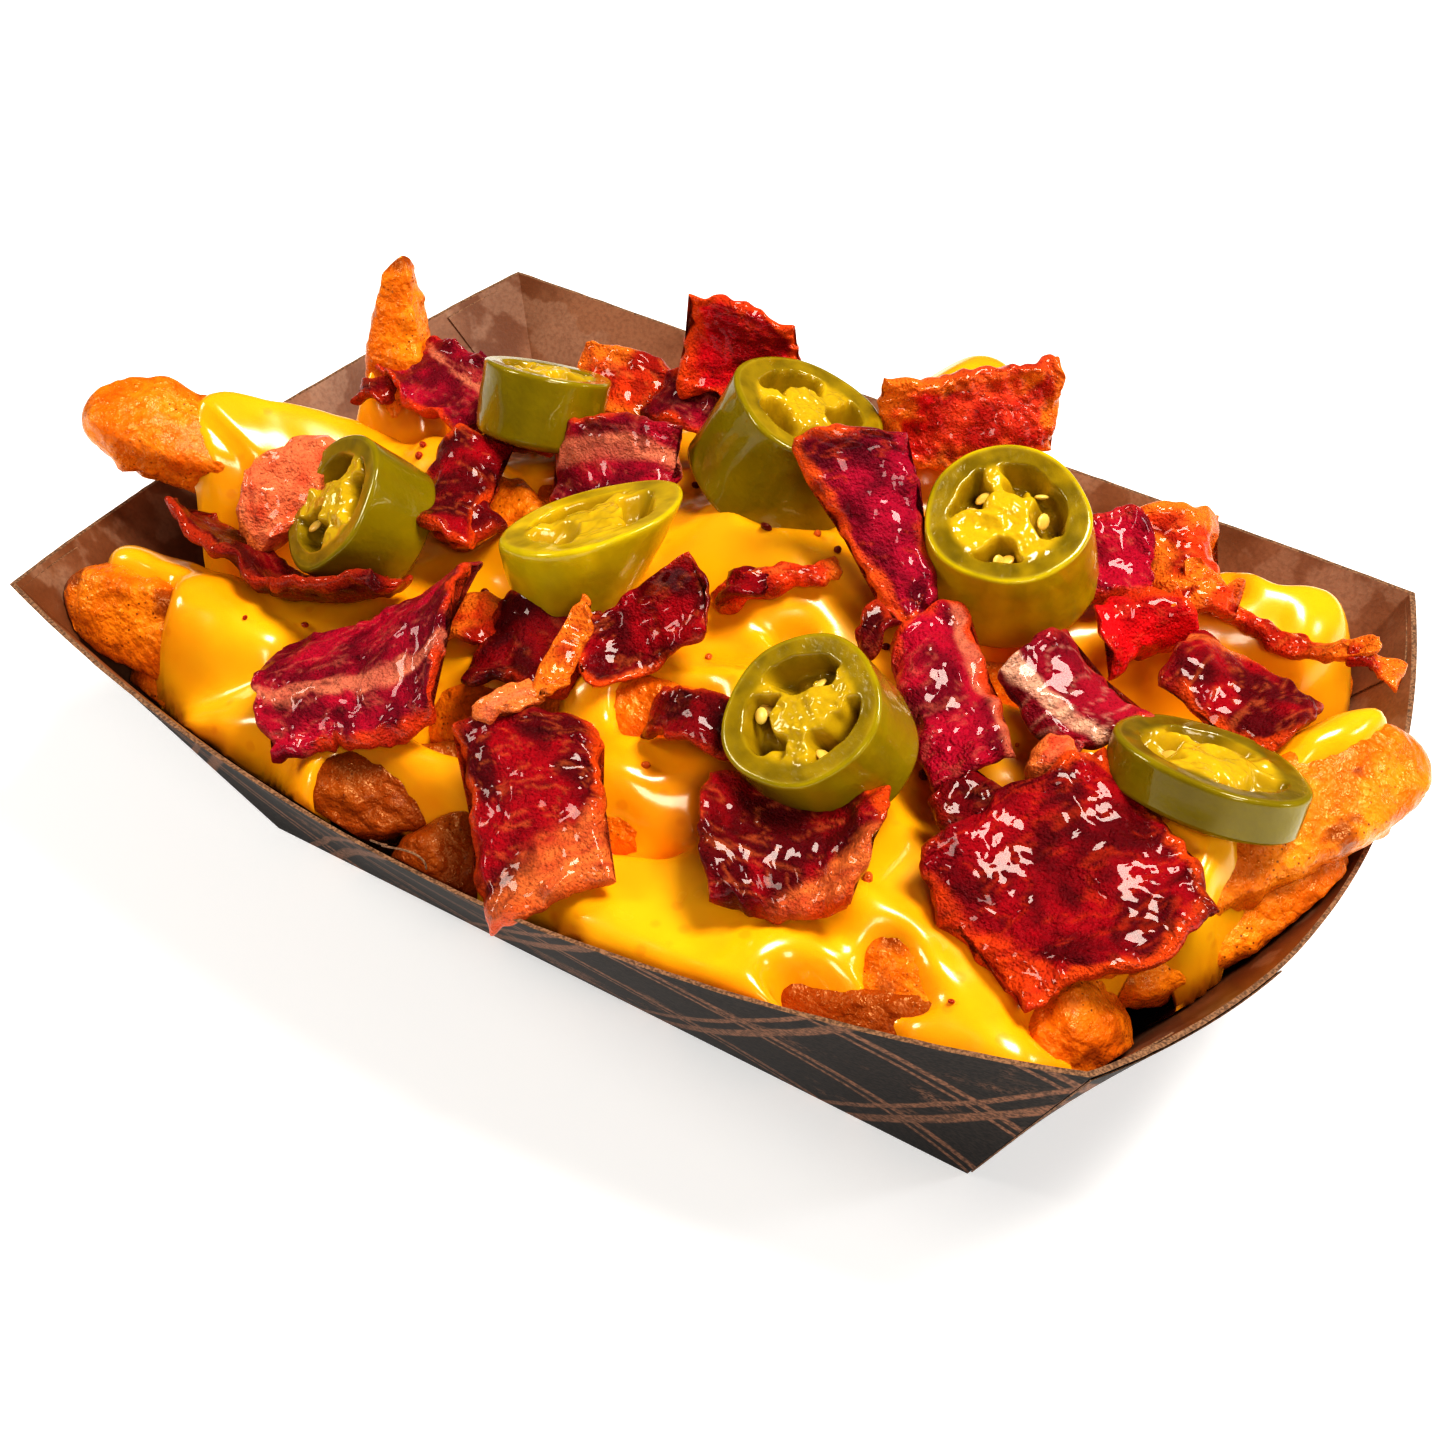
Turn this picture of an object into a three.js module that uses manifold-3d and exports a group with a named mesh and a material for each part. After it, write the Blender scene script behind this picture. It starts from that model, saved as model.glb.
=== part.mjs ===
// A folded paperboard tray heaped with coated potato wedges under melted cheese sauce,
// topped with torn pieces of glazed bacon and slices of pickled green pepper.
// Millimetres, +Z up. The origin is the middle of the tray's flat underside, and +X runs
// along the tray's length. Angles are in degrees.
import * as THREE from 'three';
import Module from 'manifold-3d';

const wasm = await Module();
wasm.setup();

// ---------------------------------------------------------------- driving dimensions
const PAPER = 0.6; // thickness of the tray's board
const GAP = 0.3; // clearance kept between pieces that touch
const RIM_HALF = [92, 62.5]; // half length and half width between the rim's corners
const RIM_HEIGHT = 50.5; // height of the rim's pointed corners
const BASE_HALF = [68, 43.5]; // half length and half width of the flat underside
const SIDE_BULGE = [11, 7]; // how far a long side's rim bows out and dips at its middle
const END_BULGE = [13, 7]; // the same for the two short ends
const HEAP_EDGE = 43; // height of the heap where it meets the rim
const HEAP_CROWN = 17; // how much higher the middle of the heap stands
const SAUCE = 2.6; // thickness of the cheese sauce over the wedges

// Corners of the tray: [rim offset from the regular place, base offset], as the board is bent.
const CORNER_DRIFT = {
  frontLeft: [[-1.6, -0.5, 1], [3.3, 0.2]],
  frontRight: [[-1, 0.5, 0.7], [1.5, -0.5]],
  backRight: [[-2.5, -1.5, -2.5], [0, 0]],
  backLeft: [[0, 1.8, 2], [0, 0]],
};

const board = material(0x7a5a48, 0.55);
const crust = material(0xd9761c, 0.75);
const sauce = material(0xf7b117, 0.25);
const cured = material(0x8c1526, 0.3);
const pepper = material(0x8a8c1a, 0.25);

function material(color, roughness) {
  return new THREE.MeshStandardMaterial({ color, roughness, metalness: 0 });
}

const rad = THREE.MathUtils.degToRad;
const lerp = THREE.MathUtils.lerp;

// ---------------------------------------------------------------- solids from grids
function solid(points, triangles) {
  return new wasm.Manifold(new wasm.Mesh({
    numProp: 3,
    vertProperties: new Float32Array(points.flat()),
    triVerts: new Uint32Array(triangles.flat()),
  }));
}

// Closed surface through rings of equally many points, with a fan to a pole at each end.
function ringSolid(rings, firstPole, lastPole) {
  const n = rings[0].length;
  const points = [...rings.flat(), firstPole, lastPole];
  const triangles = [];
  for (let r = 0; r + 1 < rings.length; r++) {
    for (let i = 0; i < n; i++) {
      const [a, b] = [r * n + i, r * n + ((i + 1) % n)];
      triangles.push([a, b, b + n], [a, b + n, a + n]);
    }
  }
  const [first, last] = [points.length - 2, points.length - 1];
  for (let i = 0; i < n; i++) {
    const j = (i + 1) % n;
    triangles.push([first, j, i]);
    triangles.push([last, last - 1 - n + i, last - 1 - n + j]);
  }
  return solid(points, triangles);
}

function placing({ at, turn = 0, tip = 0, roll = 0 }) {
  return new THREE.Matrix4().makeRotationZ(rad(turn))
    .multiply(new THREE.Matrix4().makeRotationY(rad(-tip)))
    .multiply(new THREE.Matrix4().makeRotationX(rad(roll)))
    .setPosition(...at);
}

function moved(points, matrix) {
  return points.map((point) => new THREE.Vector3(...point).applyMatrix4(matrix).toArray());
}

function inPlace(shape, matrix) {
  const { vertProperties, triVerts } = shape.getMesh();
  const { array } = new THREE.BufferAttribute(vertProperties, 3).applyMatrix4(matrix);
  return new wasm.Manifold(new wasm.Mesh({ numProp: 3, vertProperties: array, triVerts }));
}

// Triangles of the largest connected piece of a mesh, so no crumb is left by a cut.
function largestPiece(positions, triangles) {
  const parent = Array.from({ length: positions.length / 3 }, (_, i) => i);
  const root = (i) => {
    let r = i;
    while (parent[r] !== r) r = parent[r];
    parent[i] = r;
    return r;
  };
  for (let i = 0; i < triangles.length; i += 3) {
    parent[root(triangles[i + 1])] = root(triangles[i]);
    parent[root(triangles[i + 2])] = root(triangles[i]);
  }
  const pieces = new Map();
  for (let i = 0; i < triangles.length; i += 3) {
    const key = root(triangles[i]);
    if (!pieces.has(key)) pieces.set(key, []);
    pieces.get(key).push(triangles[i], triangles[i + 1], triangles[i + 2]);
  }
  return [...pieces.values()].reduce((a, b) => (a.length > b.length ? a : b));
}

function mesh(name, shape, finish, matrix = new THREE.Matrix4()) {
  const { vertProperties, triVerts } = shape.getMesh();
  const geometry = new THREE.BufferGeometry();
  geometry.setAttribute('position', new THREE.BufferAttribute(vertProperties, 3));
  geometry.setIndex(largestPiece(vertProperties, triVerts));
  geometry.computeVertexNormals();
  const made = new THREE.Mesh(geometry, finish);
  made.name = name;
  made.applyMatrix4(matrix);
  return made;
}

// ---------------------------------------------------------------- tray
const SIDES = [['frontLeft', 'frontRight', 0, -1], ['frontRight', 'backRight', 1, 0],
  ['backRight', 'backLeft', 0, 1], ['backLeft', 'frontLeft', -1, 0]];
const SIGNS = { frontLeft: [-1, -1], frontRight: [1, -1], backRight: [1, 1], backLeft: [-1, 1] };
const SIDE_STEPS = 8;

function trayCorner(name, inset) {
  const [sx, sy] = SIGNS[name];
  const [rim, base] = CORNER_DRIFT[name];
  return {
    rim: [sx * (RIM_HALF[0] - inset) + rim[0], sy * (RIM_HALF[1] - inset) + rim[1],
      RIM_HEIGHT + rim[2]],
    base: [sx * (BASE_HALF[0] - inset) + base[0], sy * (BASE_HALF[1] - inset) + base[1], 0],
  };
}

// One ring round the tray's wall: level 0 is the foot and 1 the rim; lift raises the foot.
function trayRing(level, inset, lift) {
  return SIDES.flatMap(([from, to, nx, ny]) => {
    const [a, b] = [trayCorner(from, inset), trayCorner(to, inset)];
    const [bulge, dip] = nx === 0 ? SIDE_BULGE : END_BULGE;
    return Array.from({ length: SIDE_STEPS }, (_, i) => {
      const s = i / SIDE_STEPS;
      const bow = 4 * s * (1 - s);
      const point = [0, 1, 2].map((k) => lerp(lerp(a.base[k], b.base[k], s),
        lerp(a.rim[k], b.rim[k], s), level));
      point[0] += nx * bulge * bow * level;
      point[1] += ny * bulge * bow * level;
      point[2] += lift * (1 - level) - dip * bow * level;
      return point;
    });
  });
}

function trayShell() {
  const outer = [0, 0.5, 1].map((level) => trayRing(level, 0, 0));
  const inner = [1, 0.5, 0].map((level) => trayRing(level, PAPER * 1.15, PAPER));
  return ringSolid([...outer, ...inner], [0, 0, 0], [0, 0, PAPER]);
}

// ---------------------------------------------------------------- heap of wedges
// Wedges that show: [end in the heap, free end], width, height, roll about their length.
const SHOWN_WEDGES = [
  { ends: [[-66, 2, 42], [-105, -33, 65]], width: 20, height: 17, roll: 20 },
  { ends: [[-52, -45, 40], [-94, -51, 45]], width: 20, height: 16, roll: -20 },
  { ends: [[-50, -44, 30], [-83, -50, 35]], width: 20, height: 17, roll: 0 },
  { ends: [[70, -42, 42], [103, 19, 52]], width: 21, height: 18, roll: -15 },
  { ends: [[77, -33, 38], [99, 4, 42]], width: 19, height: 17, roll: -10 },
  { ends: [[62, -28, 38], [87, -49, 36]], width: 20, height: 19, roll: 0 },
  { ends: [[38, -61, 31], [74, -50, 35]], width: 22, height: 18, roll: 10 },
  { ends: [[46, -44, 41], [84, -58, 33]], width: 19, height: 15, roll: 0 },
  { ends: [[2, -38, 33], [-14, -67, 33]], width: 18, height: 16, roll: 0 },
  { ends: [[-8, -40, 37], [-34, -66, 38]], width: 17, height: 15, roll: 0 },
  { ends: [[4, 30, 50], [20, 52, 68]], width: 20, height: 17, roll: 0 },
  { ends: [[50, 27, 47], [84, 42, 48]], width: 21, height: 17, roll: 0 },
  { ends: [[-10, -38, 46], [30, -22, 49]], width: 20, height: 17, roll: 0 },
  { ends: [[-20, -4, 47], [-64, -2, 50]], width: 19, height: 17, roll: 0 },
  { ends: [[-66, 44, 33], [-12, 53, 37]], width: 23, height: 18, roll: 10 },
  { ends: [[-2, 52, 35], [44, 54, 38]], width: 22, height: 18, roll: -15 },
  { ends: [[40, 44, 35], [82, 44, 34]], width: 21, height: 17, roll: 5 },
];
// A thin wedge pokes up through the sauce.
const STANDING_WEDGE = { ends: [[-70, 5, 32], [-80, 18, 78]], width: 15, height: 13, roll: 30 };
const WEDGE_SIZE = [50, 22, 18];
const WEDGE_ROWS = [-34, -8, 16, 38];
const WEDGE_STEP = 27;

function moundHeight(x, y) {
  const across = Math.max(0, 1 - (x / 100) ** 2) * Math.max(0, 1 - (y / 72) ** 2);
  return HEAP_EDGE + HEAP_CROWN * across + y / 20;
}

function wedgeBetween({ ends: [root, tip], width, height, roll }) {
  const along = new THREE.Vector3(...tip).sub(new THREE.Vector3(...root));
  const at = root.map((value, k) => (value + tip[k]) / 2);
  const turn = Math.atan2(along.y, along.x) / rad(1);
  const lift = Math.asin(along.z / along.length()) / rad(1);
  return { at, size: [along.length(), width, height], turn, tip: lift, roll };
}

// Wedges under the sauce lie in rows along the mound, each turned its own way.
function buriedWedges() {
  return WEDGE_ROWS.flatMap((y, row) => [-2, -1, 0, 1, 2].map((column) => {
    const x = WEDGE_STEP * column + (row % 2 ? 9 : -5);
    const turn = 38 * Math.sin(2.1 * column + 1.7 * row) + 12;
    return { at: [x, y, moundHeight(x, y) - WEDGE_SIZE[2] * 0.62], size: WEDGE_SIZE, turn, roll: 0,
      tip: 0.16 * -x };
  }));
}

const shownWedges = SHOWN_WEDGES.map(wedgeBetween);
const wedgesUnderSauce = [...shownWedges, ...buriedWedges()];

// Section of a potato wedge: a ridge between two cut faces, and a rounded skin below.
const WEDGE_SECTION = [[0, 0.5], [-0.3, 0.22], [-0.5, -0.12], [-0.3, -0.43], [0, -0.52],
  [0.3, -0.43], [0.5, -0.12], [0.3, 0.22]];
const WEDGE_RINGS = 4;

const wedgeTaper = (t) => Math.sqrt(Math.max(0, 1 - Math.abs(2 * t - 1) ** 2.6));

function wedgeSolid(wedge, grow = 0) {
  const [length, width, height] = wedge.size.map((value) => value + 2 * grow);
  const matrix = placing(wedge);
  const rings = Array.from({ length: WEDGE_RINGS }, (_, i) => {
    const t = 0.04 + 0.92 * (i / (WEDGE_RINGS - 1));
    const thick = wedgeTaper(t);
    return moved(WEDGE_SECTION.map(([y, z]) => [(t - 0.5) * length, y * width * thick,
      z * height * thick]), matrix);
  });
  return ringSolid(rings, ...moved([[-length / 2, 0, 0], [length / 2, 0, 0]], matrix));
}

// Height of a wedge's back over the point x, y, or nothing where it isn't under it.
function wedgeHeight({ at, size, turn, tip }, x, y) {
  const [c, s] = [Math.cos(rad(turn)), Math.sin(rad(turn))];
  const along = ((x - at[0]) * c + (y - at[1]) * s) / Math.cos(rad(tip));
  const across = -(x - at[0]) * s + (y - at[1]) * c;
  const thick = wedgeTaper(along / size[0] + 0.5);
  const side = across / (0.5 * size[1] * thick + 1e-6);
  if (Math.abs(along) > size[0] / 2 || Math.abs(side) > 1) return -Infinity;
  const back = 0.5 * size[2] * thick * Math.sqrt(1 - side * side);
  return at[2] + along * Math.sin(rad(tip)) + back / Math.cos(rad(tip));
}

const CORE_SINK = 12; // how far the heap's core lies under the mound's surface
const CORE_EDGE = 20; // height of the core far out, past the tray's corners
const SMOOTH = 3; // reach of the averaging that makes the sauce bridge small gaps

function heapTop(x, y) {
  return wedgesUnderSauce.reduce((top, wedge) => Math.max(top, wedgeHeight(wedge, x, y)),
    moundHeight(x, y) - CORE_SINK);
}

function sauceLevel(x, y) {
  const reach = [[0, 0], [SMOOTH, 0], [-SMOOTH, 0], [0, SMOOTH], [0, -SMOOTH]];
  const sum = reach.reduce((total, [dx, dy]) => total + heapTop(x + dx, y + dy), 0);
  return Math.max(heapTop(x, y), sum / reach.length, moundHeight(x, y) - 6);
}

// ---------------------------------------------------------------- cheese sauce
// The sauce as it was poured: each stroke runs from one point to another with a half width.
const POURS = [
  [-55, -44, -20, -44, 18], [-74, -40, -86, -43, 5], [-60, -20, 10, -18, 24], [-74, 2, -60, 12, 12],
  [-72, -12, -82, -19, 9], [12, -52, 42, -56, 16], [20, -20, 60, -30, 22], [66, -52, 76, -52, 7],
  [56, -38, 70, -49, 5], [-30, 14, 40, 18, 26], [40, 10, 66, 18, 17], [62, 26, 78, 38, 9],
  [80, 0, 86, 4, 6], [88, 4, 95, 13, 5], [0, 36, 26, 48, 10], [-34, -58, -24, -62, 9],
];
const SAUCE_SPOKES = 33;
const SAUCE_RINGS = [1, 0.93, 0.78, 0.6, 0.42, 0.22];
const SAUCE_SINK = 6; // how deep the sauce lies between the wedges
const SAUCE_LIP = [0.8, 1.2]; // how far its outer edge reaches above and below its level

function insidePour(x, y) {
  return Math.max(...POURS.map(([x0, y0, x1, y1, half]) => {
    const [dx, dy] = [x1 - x0, y1 - y0];
    const t = THREE.MathUtils.clamp(((x - x0) * dx + (y - y0) * dy) / (dx * dx + dy * dy), 0, 1);
    return half - Math.hypot(x - x0 - t * dx, y - y0 - t * dy);
  }));
}

// Outermost point of the pour on one spoke from the middle, held inside the tray's rim.
function sauceReach(angle) {
  const [c, s] = [Math.cos(angle), Math.sin(angle)];
  for (let r = 110; r > 10; r -= 0.5) {
    if (insidePour(r * c, r * s) > 0 && (r * s) > -70) return r;
  }
  return 10;
}

const spokes = Array.from({ length: SAUCE_SPOKES }, (_, i) => (2 * Math.PI * i) / SAUCE_SPOKES);
const reaches = spokes.map(sauceReach);

// Ring at a share of the sauce's reach, so far above its level, and so far out beyond it.
function sauceRing(share, over, out = 0) {
  return spokes.map((angle, i) => {
    const [c, s] = [Math.cos(angle), Math.sin(angle)];
    const r = reaches[i] * share;
    return [(r + out) * c, (r + out) * s, sauceLevel(r * c, r * s) + over];
  });
}

function sauceBlanket(grow = 0) {
  const under = SAUCE_RINGS.toReversed().map((share) => (share === 1
    ? sauceRing(1, -SAUCE_LIP[1] - 4 * grow, grow) : sauceRing(share, -SAUCE_SINK - grow)));
  const over = SAUCE_RINGS.map((share) => (share === 1
    ? sauceRing(1, SAUCE_LIP[0] + grow, grow) : sauceRing(share, SAUCE + grow)));
  return ringSolid([...under, ...over], [0, 0, sauceLevel(0, 0) - SAUCE_SINK - grow],
    [0, 0, sauceLevel(0, 0) + SAUCE + grow]);
}

// The heap's inside: right up to the sauce, and sunk below the loose wedges round it.
function heapCore() {
  const tops = SAUCE_RINGS.map((share) => (share === 1
    ? sauceRing(1, -SAUCE_LIP[1] - 4 * GAP) : sauceRing(share, -SAUCE_SINK - GAP)));
  const round = (r, z) => spokes.map((angle) => [r * Math.cos(angle), r * Math.sin(angle), z]);
  const edge = spokes.map((angle, i) => {
    const [x, y] = [(reaches[i] + 8) * Math.cos(angle), (reaches[i] + 8) * Math.sin(angle)];
    return [x, y, moundHeight(x, y) - CORE_SINK];
  });
  const mound = ringSolid([round(130, -10), round(130, CORE_EDGE), edge, ...tops],
    [0, 0, -10], [0, 0, sauceLevel(0, 0) - SAUCE_SINK - GAP]);
  const inset = PAPER * 1.15 + GAP;
  const walls = [0, 0.5, 1].map((rise) => trayRing(rise, inset, PAPER + GAP));
  const open = trayRing(1, inset, 0).map(([x, y, z]) => [x, y, z + 40]);
  return mound.intersect(ringSolid([...walls, open], [0, 0, PAPER + GAP], [0, 0, 100]));
}

// ---------------------------------------------------------------- bacon
// Torn pieces: middle, [length, width, thickness], how each is turned, then how the sheet
// is bent: bow along its length and curl across its width.
const BACON = {
  bacon_back_left: { at: [-65.5, 9, 60.5], size: [27, 14, 2],
    turn: -10, tip: 0, roll: 14, bow: 2, curl: 2 },
  bacon_fat_lump: { at: [-68, -26, 58], size: [17, 17, 8],
    turn: 5, tip: 25, roll: 50, bow: 1, curl: 1 },
  bacon_ribbon_left: { at: [-60, -36, 53], size: [45, 12, 1.8],
    turn: 0, tip: 2, roll: -35, bow: -6, curl: 1 },
  bacon_folded: { at: [-30, -51, 53], size: [36, 28.5, 2.4],
    turn: 40, tip: 20, roll: 12, bow: -2, curl: -4 },
  bacon_wing: { at: [4, -30, 62], size: [21, 13, 2], turn: 45, tip: 25, roll: 38, bow: -3, curl: 2 },
  bacon_dark_middle: { at: [-12, -36, 57], size: [18, 17, 2],
    turn: 15, tip: 8, roll: 18, bow: 2, curl: 1 },
  bacon_tall_front: { at: [6, -60, 50], size: [22, 34, 2.4],
    turn: 36, tip: 15, roll: 24, bow: 2, curl: -2 },
  bacon_trough: { at: [41, -48, 54], size: [28, 20, 2.4],
    turn: 21, tip: 8, roll: 28, bow: -4, curl: -2 },
  bacon_dark_strip: { at: [20, -39, 58], size: [19, 9, 2], turn: 0, tip: 5, roll: 30, bow: 2, curl: 1 },
  bacon_leaning: { at: [25, -1, 71], size: [15, 32, 2.4],
    turn: 36, tip: 15, roll: 45, bow: 2, curl: 2 },
  bacon_standing_back: { at: [-14, 24, 78], size: [19, 17, 2.4],
    turn: 24, tip: 8, roll: 80, bow: 2, curl: 2 },
  bacon_slab_back: { at: [22, 36, 71], size: [31, 18, 3],
    turn: 48, tip: -3, roll: 78, bow: 2, curl: 1 },
  bacon_crisp_back: { at: [-35, 22, 64], size: [20, 13, 2.2],
    turn: 5, tip: -5, roll: 40, bow: 2, curl: 1 },
  bacon_pale_middle: { at: [-22, 0, 65], size: [22, 14, 2.4],
    turn: 10, tip: 18, roll: 40, bow: 3, curl: 2 },
  bacon_bright_right: { at: [53, 25, 61], size: [14, 14, 2.4],
    turn: 45, tip: 0, roll: 28, bow: 2, curl: 1 },
  bacon_rough_right: { at: [60, 32, 60], size: [15, 15, 3.5],
    turn: 47, tip: -12, roll: 27, bow: 3, curl: 2 },
  bacon_red_cup: { at: [62, 15, 58], size: [15, 10, 2.2],
    turn: 57, tip: -5, roll: 55, bow: -3, curl: -2 },
  bacon_twisted_strip: { at: [77, 31, 57], size: [34, 4.4, 1.8],
    turn: 0, tip: -10, roll: 23, bow: -3, curl: 0 },
  bacon_crinkled_right: { at: [80, 9, 57], size: [15, 21, 2.4],
    turn: 79, tip: 3, roll: 6, bow: 2, curl: 2 },
  bacon_curled_right: { at: [62, -6.8, 59], size: [15, 17, 2.4],
    turn: 72, tip: 4, roll: 20, bow: 3, curl: 3 },
  bacon_purple_middle: { at: [47, -16, 59], size: [13, 27, 2.4],
    turn: 47, tip: 8, roll: 16, bow: 2, curl: 1 },
  bacon_square_front: { at: [74, -34, 52], size: [32, 29, 2.8],
    turn: 59, tip: 12, roll: 17, bow: 2, curl: 2 },
  bacon_thin_crisp: { at: [15, -9, 62], size: [20, 6, 2], turn: 41, tip: 13, roll: 22, bow: 2, curl: 0 },
  bacon_crisp_left: { at: [-44, -13, 60], size: [15, 24, 2.2],
    turn: 23, tip: 8, roll: 15, bow: 3, curl: 2 },
};
const RAGGED = 0.07; // how far a torn edge wanders, as a share of the piece's size

// Middle of the sheet at u along and v across, both from -1 to 1.
function baconPoint({ size, bow, curl }, u, v) {
  const ragU = RAGGED * u * u * Math.sin(5 * v + size[1]);
  const ragV = RAGGED * v * v * Math.sin(6 * u + size[0]);
  return [0.5 * size[0] * u * (1 + ragU), 0.5 * size[1] * v * (1 + ragV),
    bow * (0.5 - u * u) + curl * (v * v - 0.5)];
}

function baconSolid(piece, grow = 0) {
  const [length, width, thickness] = piece.size;
  const n = length > 24 ? 4 : 3;
  const half = thickness / 2 + 1.5 * grow;
  const [stretchX, stretchY] = [1 + (2 * grow) / length, 1 + (2 * grow) / width];
  const row = (j, z) => Array.from({ length: n + 1 }, (_, i) => {
    const [x, y, mid] = baconPoint(piece, (2 * i) / n - 1, (2 * j) / n - 1);
    return [x * stretchX, y * stretchY, mid + z];
  });
  const layers = [-half, half].map((z) => Array.from({ length: n + 1 }, (_, j) => row(j, z)).flat());
  const count = (n + 1) ** 2;
  const index = (i, j) => j * (n + 1) + i;
  const triangles = [];
  for (let j = 0; j < n; j++) {
    for (let i = 0; i < n; i++) {
      const [a, b, c, d] = [index(i, j), index(i + 1, j), index(i + 1, j + 1), index(i, j + 1)];
      triangles.push([a, c, b], [a, d, c]);
      triangles.push([a + count, b + count, c + count], [a + count, c + count, d + count]);
    }
  }
  for (let k = 0; k < n; k++) {
    const edges = [[index(k, 0), index(k + 1, 0)], [index(n, k), index(n, k + 1)],
      [index(k + 1, n), index(k, n)], [index(0, k + 1), index(0, k)]];
    edges.forEach(([p, q]) => triangles.push([p, q, q + count], [p, q + count, p + count]));
  }
  return solid(moved(layers.flat(), placing(piece)), triangles);
}

// ---------------------------------------------------------------- pepper slices
// Slices: middle of the cut face, [face radius, foot radius, height], lean of the axis from
// upright, the way it leans, and how much longer than wide a slanting cut is. A slanting cut
// may also be turned about the axis, and its foot set back along it by a share of the depth.
const PEPPERS = {
  pepper_back_left: { face: [-41, 9, 72], size: [10.5, 10, 12], lean: 25, heading: 96, long: 1 },
  pepper_back: { face: [4, 16, 76], size: [12.5, 14, 17], lean: 22, heading: 20, long: 1 },
  pepper_left: { face: [-56, -29, 62], size: [11.5, 11, 13], lean: 49, heading: -123, long: 1 },
  pepper_pale: { face: [-11.2, -20.3, 70.6], size: [11.3, 7.5, 13], lean: 17, heading: 176, long: 1.24,
    turn: 43, slant: 0.42 },
  pepper_tall: { face: [41.5, 9, 74], size: [12, 14, 16], lean: 24, heading: -69, long: 1 },
  pepper_front: { face: [34.5, -36.5, 65], size: [11.3, 12, 14], lean: 41, heading: -99, long: 1 },
  pepper_flat_right: { face: [83, -9, 60], size: [11, 11, 7], lean: 18, heading: 83, long: 1.25 },
};
const PEPPER_SIDES = 12;
const PEPPER_WALL = 0.7; // radius of the seed chambers' outer side, as a share of the face
const PEPPER_HEART = 0.2; // radius of the heart between the chambers
const CHAMBERS = [[15, 120], [140, 235], [255, 350]]; // where each chamber starts and ends
const CHAMBER_DEPTH = 0.6; // as a share of the slice's height

function pepperPlacing({ face, lean, heading, turn = 0 }) {
  return new THREE.Matrix4().makeRotationZ(rad(heading))
    .multiply(new THREE.Matrix4().makeRotationY(rad(lean)))
    .multiply(new THREE.Matrix4().makeRotationZ(rad(turn - heading)))
    .setPosition(...face);
}

function pepperBody(slice, sides = PEPPER_SIDES, grow = 0) {
  const { size: [face, foot, height], long, slant = 0 } = slice;
  const round = (r, z) => Array.from({ length: sides }, (_, i) => {
    const a = (2 * Math.PI * i) / sides;
    return [(r + grow) * long * Math.cos(a) + slant * z, (r + grow) * Math.sin(a), z];
  });
  const rings = [round(foot * 0.9, -height - grow), round(foot, -height * 0.88),
    round(face, -0.8), round(face * 0.95, grow)];
  return ringSolid(rings, [-slant * (height + grow), 0, -height - grow], [0, 0, grow]);
}

// One open seed chamber: a bent slot of the face, sunk most of the way through the slice.
function seedChamber({ size: [face, , height], long, slant = 0 }, [from, to]) {
  const outline = new THREE.Shape();
  outline.absarc(0, 0, face * PEPPER_WALL, rad(from), rad(to), false);
  outline.absarc(0, 0, face * PEPPER_HEART, rad(to), rad(from), true);
  const ring = outline.extractPoints(2).shape;
  const layer = (z) => ring.map(({ x, y }) => [x * long + slant * z, y, z]);
  const middle = rad((from + to) / 2);
  const hub = face * 0.45;
  const pole = (z) => [hub * long * Math.cos(middle) + slant * z, hub * Math.sin(middle), z];
  return ringSolid([layer(-CHAMBER_DEPTH * height), layer(1)], pole(-CHAMBER_DEPTH * height), pole(1));
}

function pepperSolid(slice) {
  return CHAMBERS.reduce((body, span) => body.subtract(seedChamber(slice, span)),
    pepperBody(slice));
}

// ---------------------------------------------------------------- the dish put together
const unite = (shapes) => shapes.reduce((a, b) => a.add(b));
const slices = Object.values(PEPPERS);
const pieces = Object.values(BACON);

// The tray grown on both faces, which every piece in it keeps clear of.
const trayGuard = ringSolid([...[0, 0.5, 1].map((level) => trayRing(level, -GAP, -GAP)),
  ...[1, 0.5, 0].map((level) => trayRing(level, PAPER * 1.15 + GAP, PAPER + GAP))],
[0, 0, -GAP], [0, 0, PAPER + GAP]);

const dish = new THREE.Group();
dish.add(mesh('tray', trayShell(), board));

Object.entries(PEPPERS).forEach(([name, slice]) => {
  dish.add(mesh(name, pepperSolid(slice), pepper, pepperPlacing(slice)));
});

const pepperGuards = (sides, grow) => slices.map(
  (slice) => inPlace(pepperBody(slice, sides, grow), pepperPlacing(slice)));

let taken = unite([trayGuard, ...pepperGuards(PEPPER_SIDES, GAP)]);
Object.entries(BACON).forEach(([name, piece]) => {
  const matrix = placing(piece);
  const cut = inPlace(baconSolid(piece).subtract(taken), matrix.clone().invert());
  dish.add(mesh(name, cut, cured, matrix));
  taken = taken.add(baconSolid(piece, GAP));
});

// Sockets that the toppings press into the sauce and the heap, plainer and a little larger.
const sockets = unite([trayGuard, ...pepperGuards(8, 4 * GAP),
  ...pieces.map((piece) => baconSolid(piece, 2 * GAP))]);
const standing = wedgeBetween(STANDING_WEDGE);
const blanket = sauceBlanket().subtract(wedgeSolid(standing, 3 * GAP)).subtract(sockets);
const heap = unite([heapCore(), ...shownWedges.map((wedge) => wedgeSolid(wedge))])
  .subtract(sauceBlanket(GAP)).add(wedgeSolid(standing)).subtract(sockets);
dish.add(mesh('cheese_sauce', blanket, sauce));
dish.add(mesh('fries_heap', heap, crust));

export default dish;
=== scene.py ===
"""Potato wedges under cheese sauce with bacon and pickled pepper slices, in a folded paper tray.

Sizes are in millimetres where they are given, and meshes are laid down in metres.
"""

import math

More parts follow.
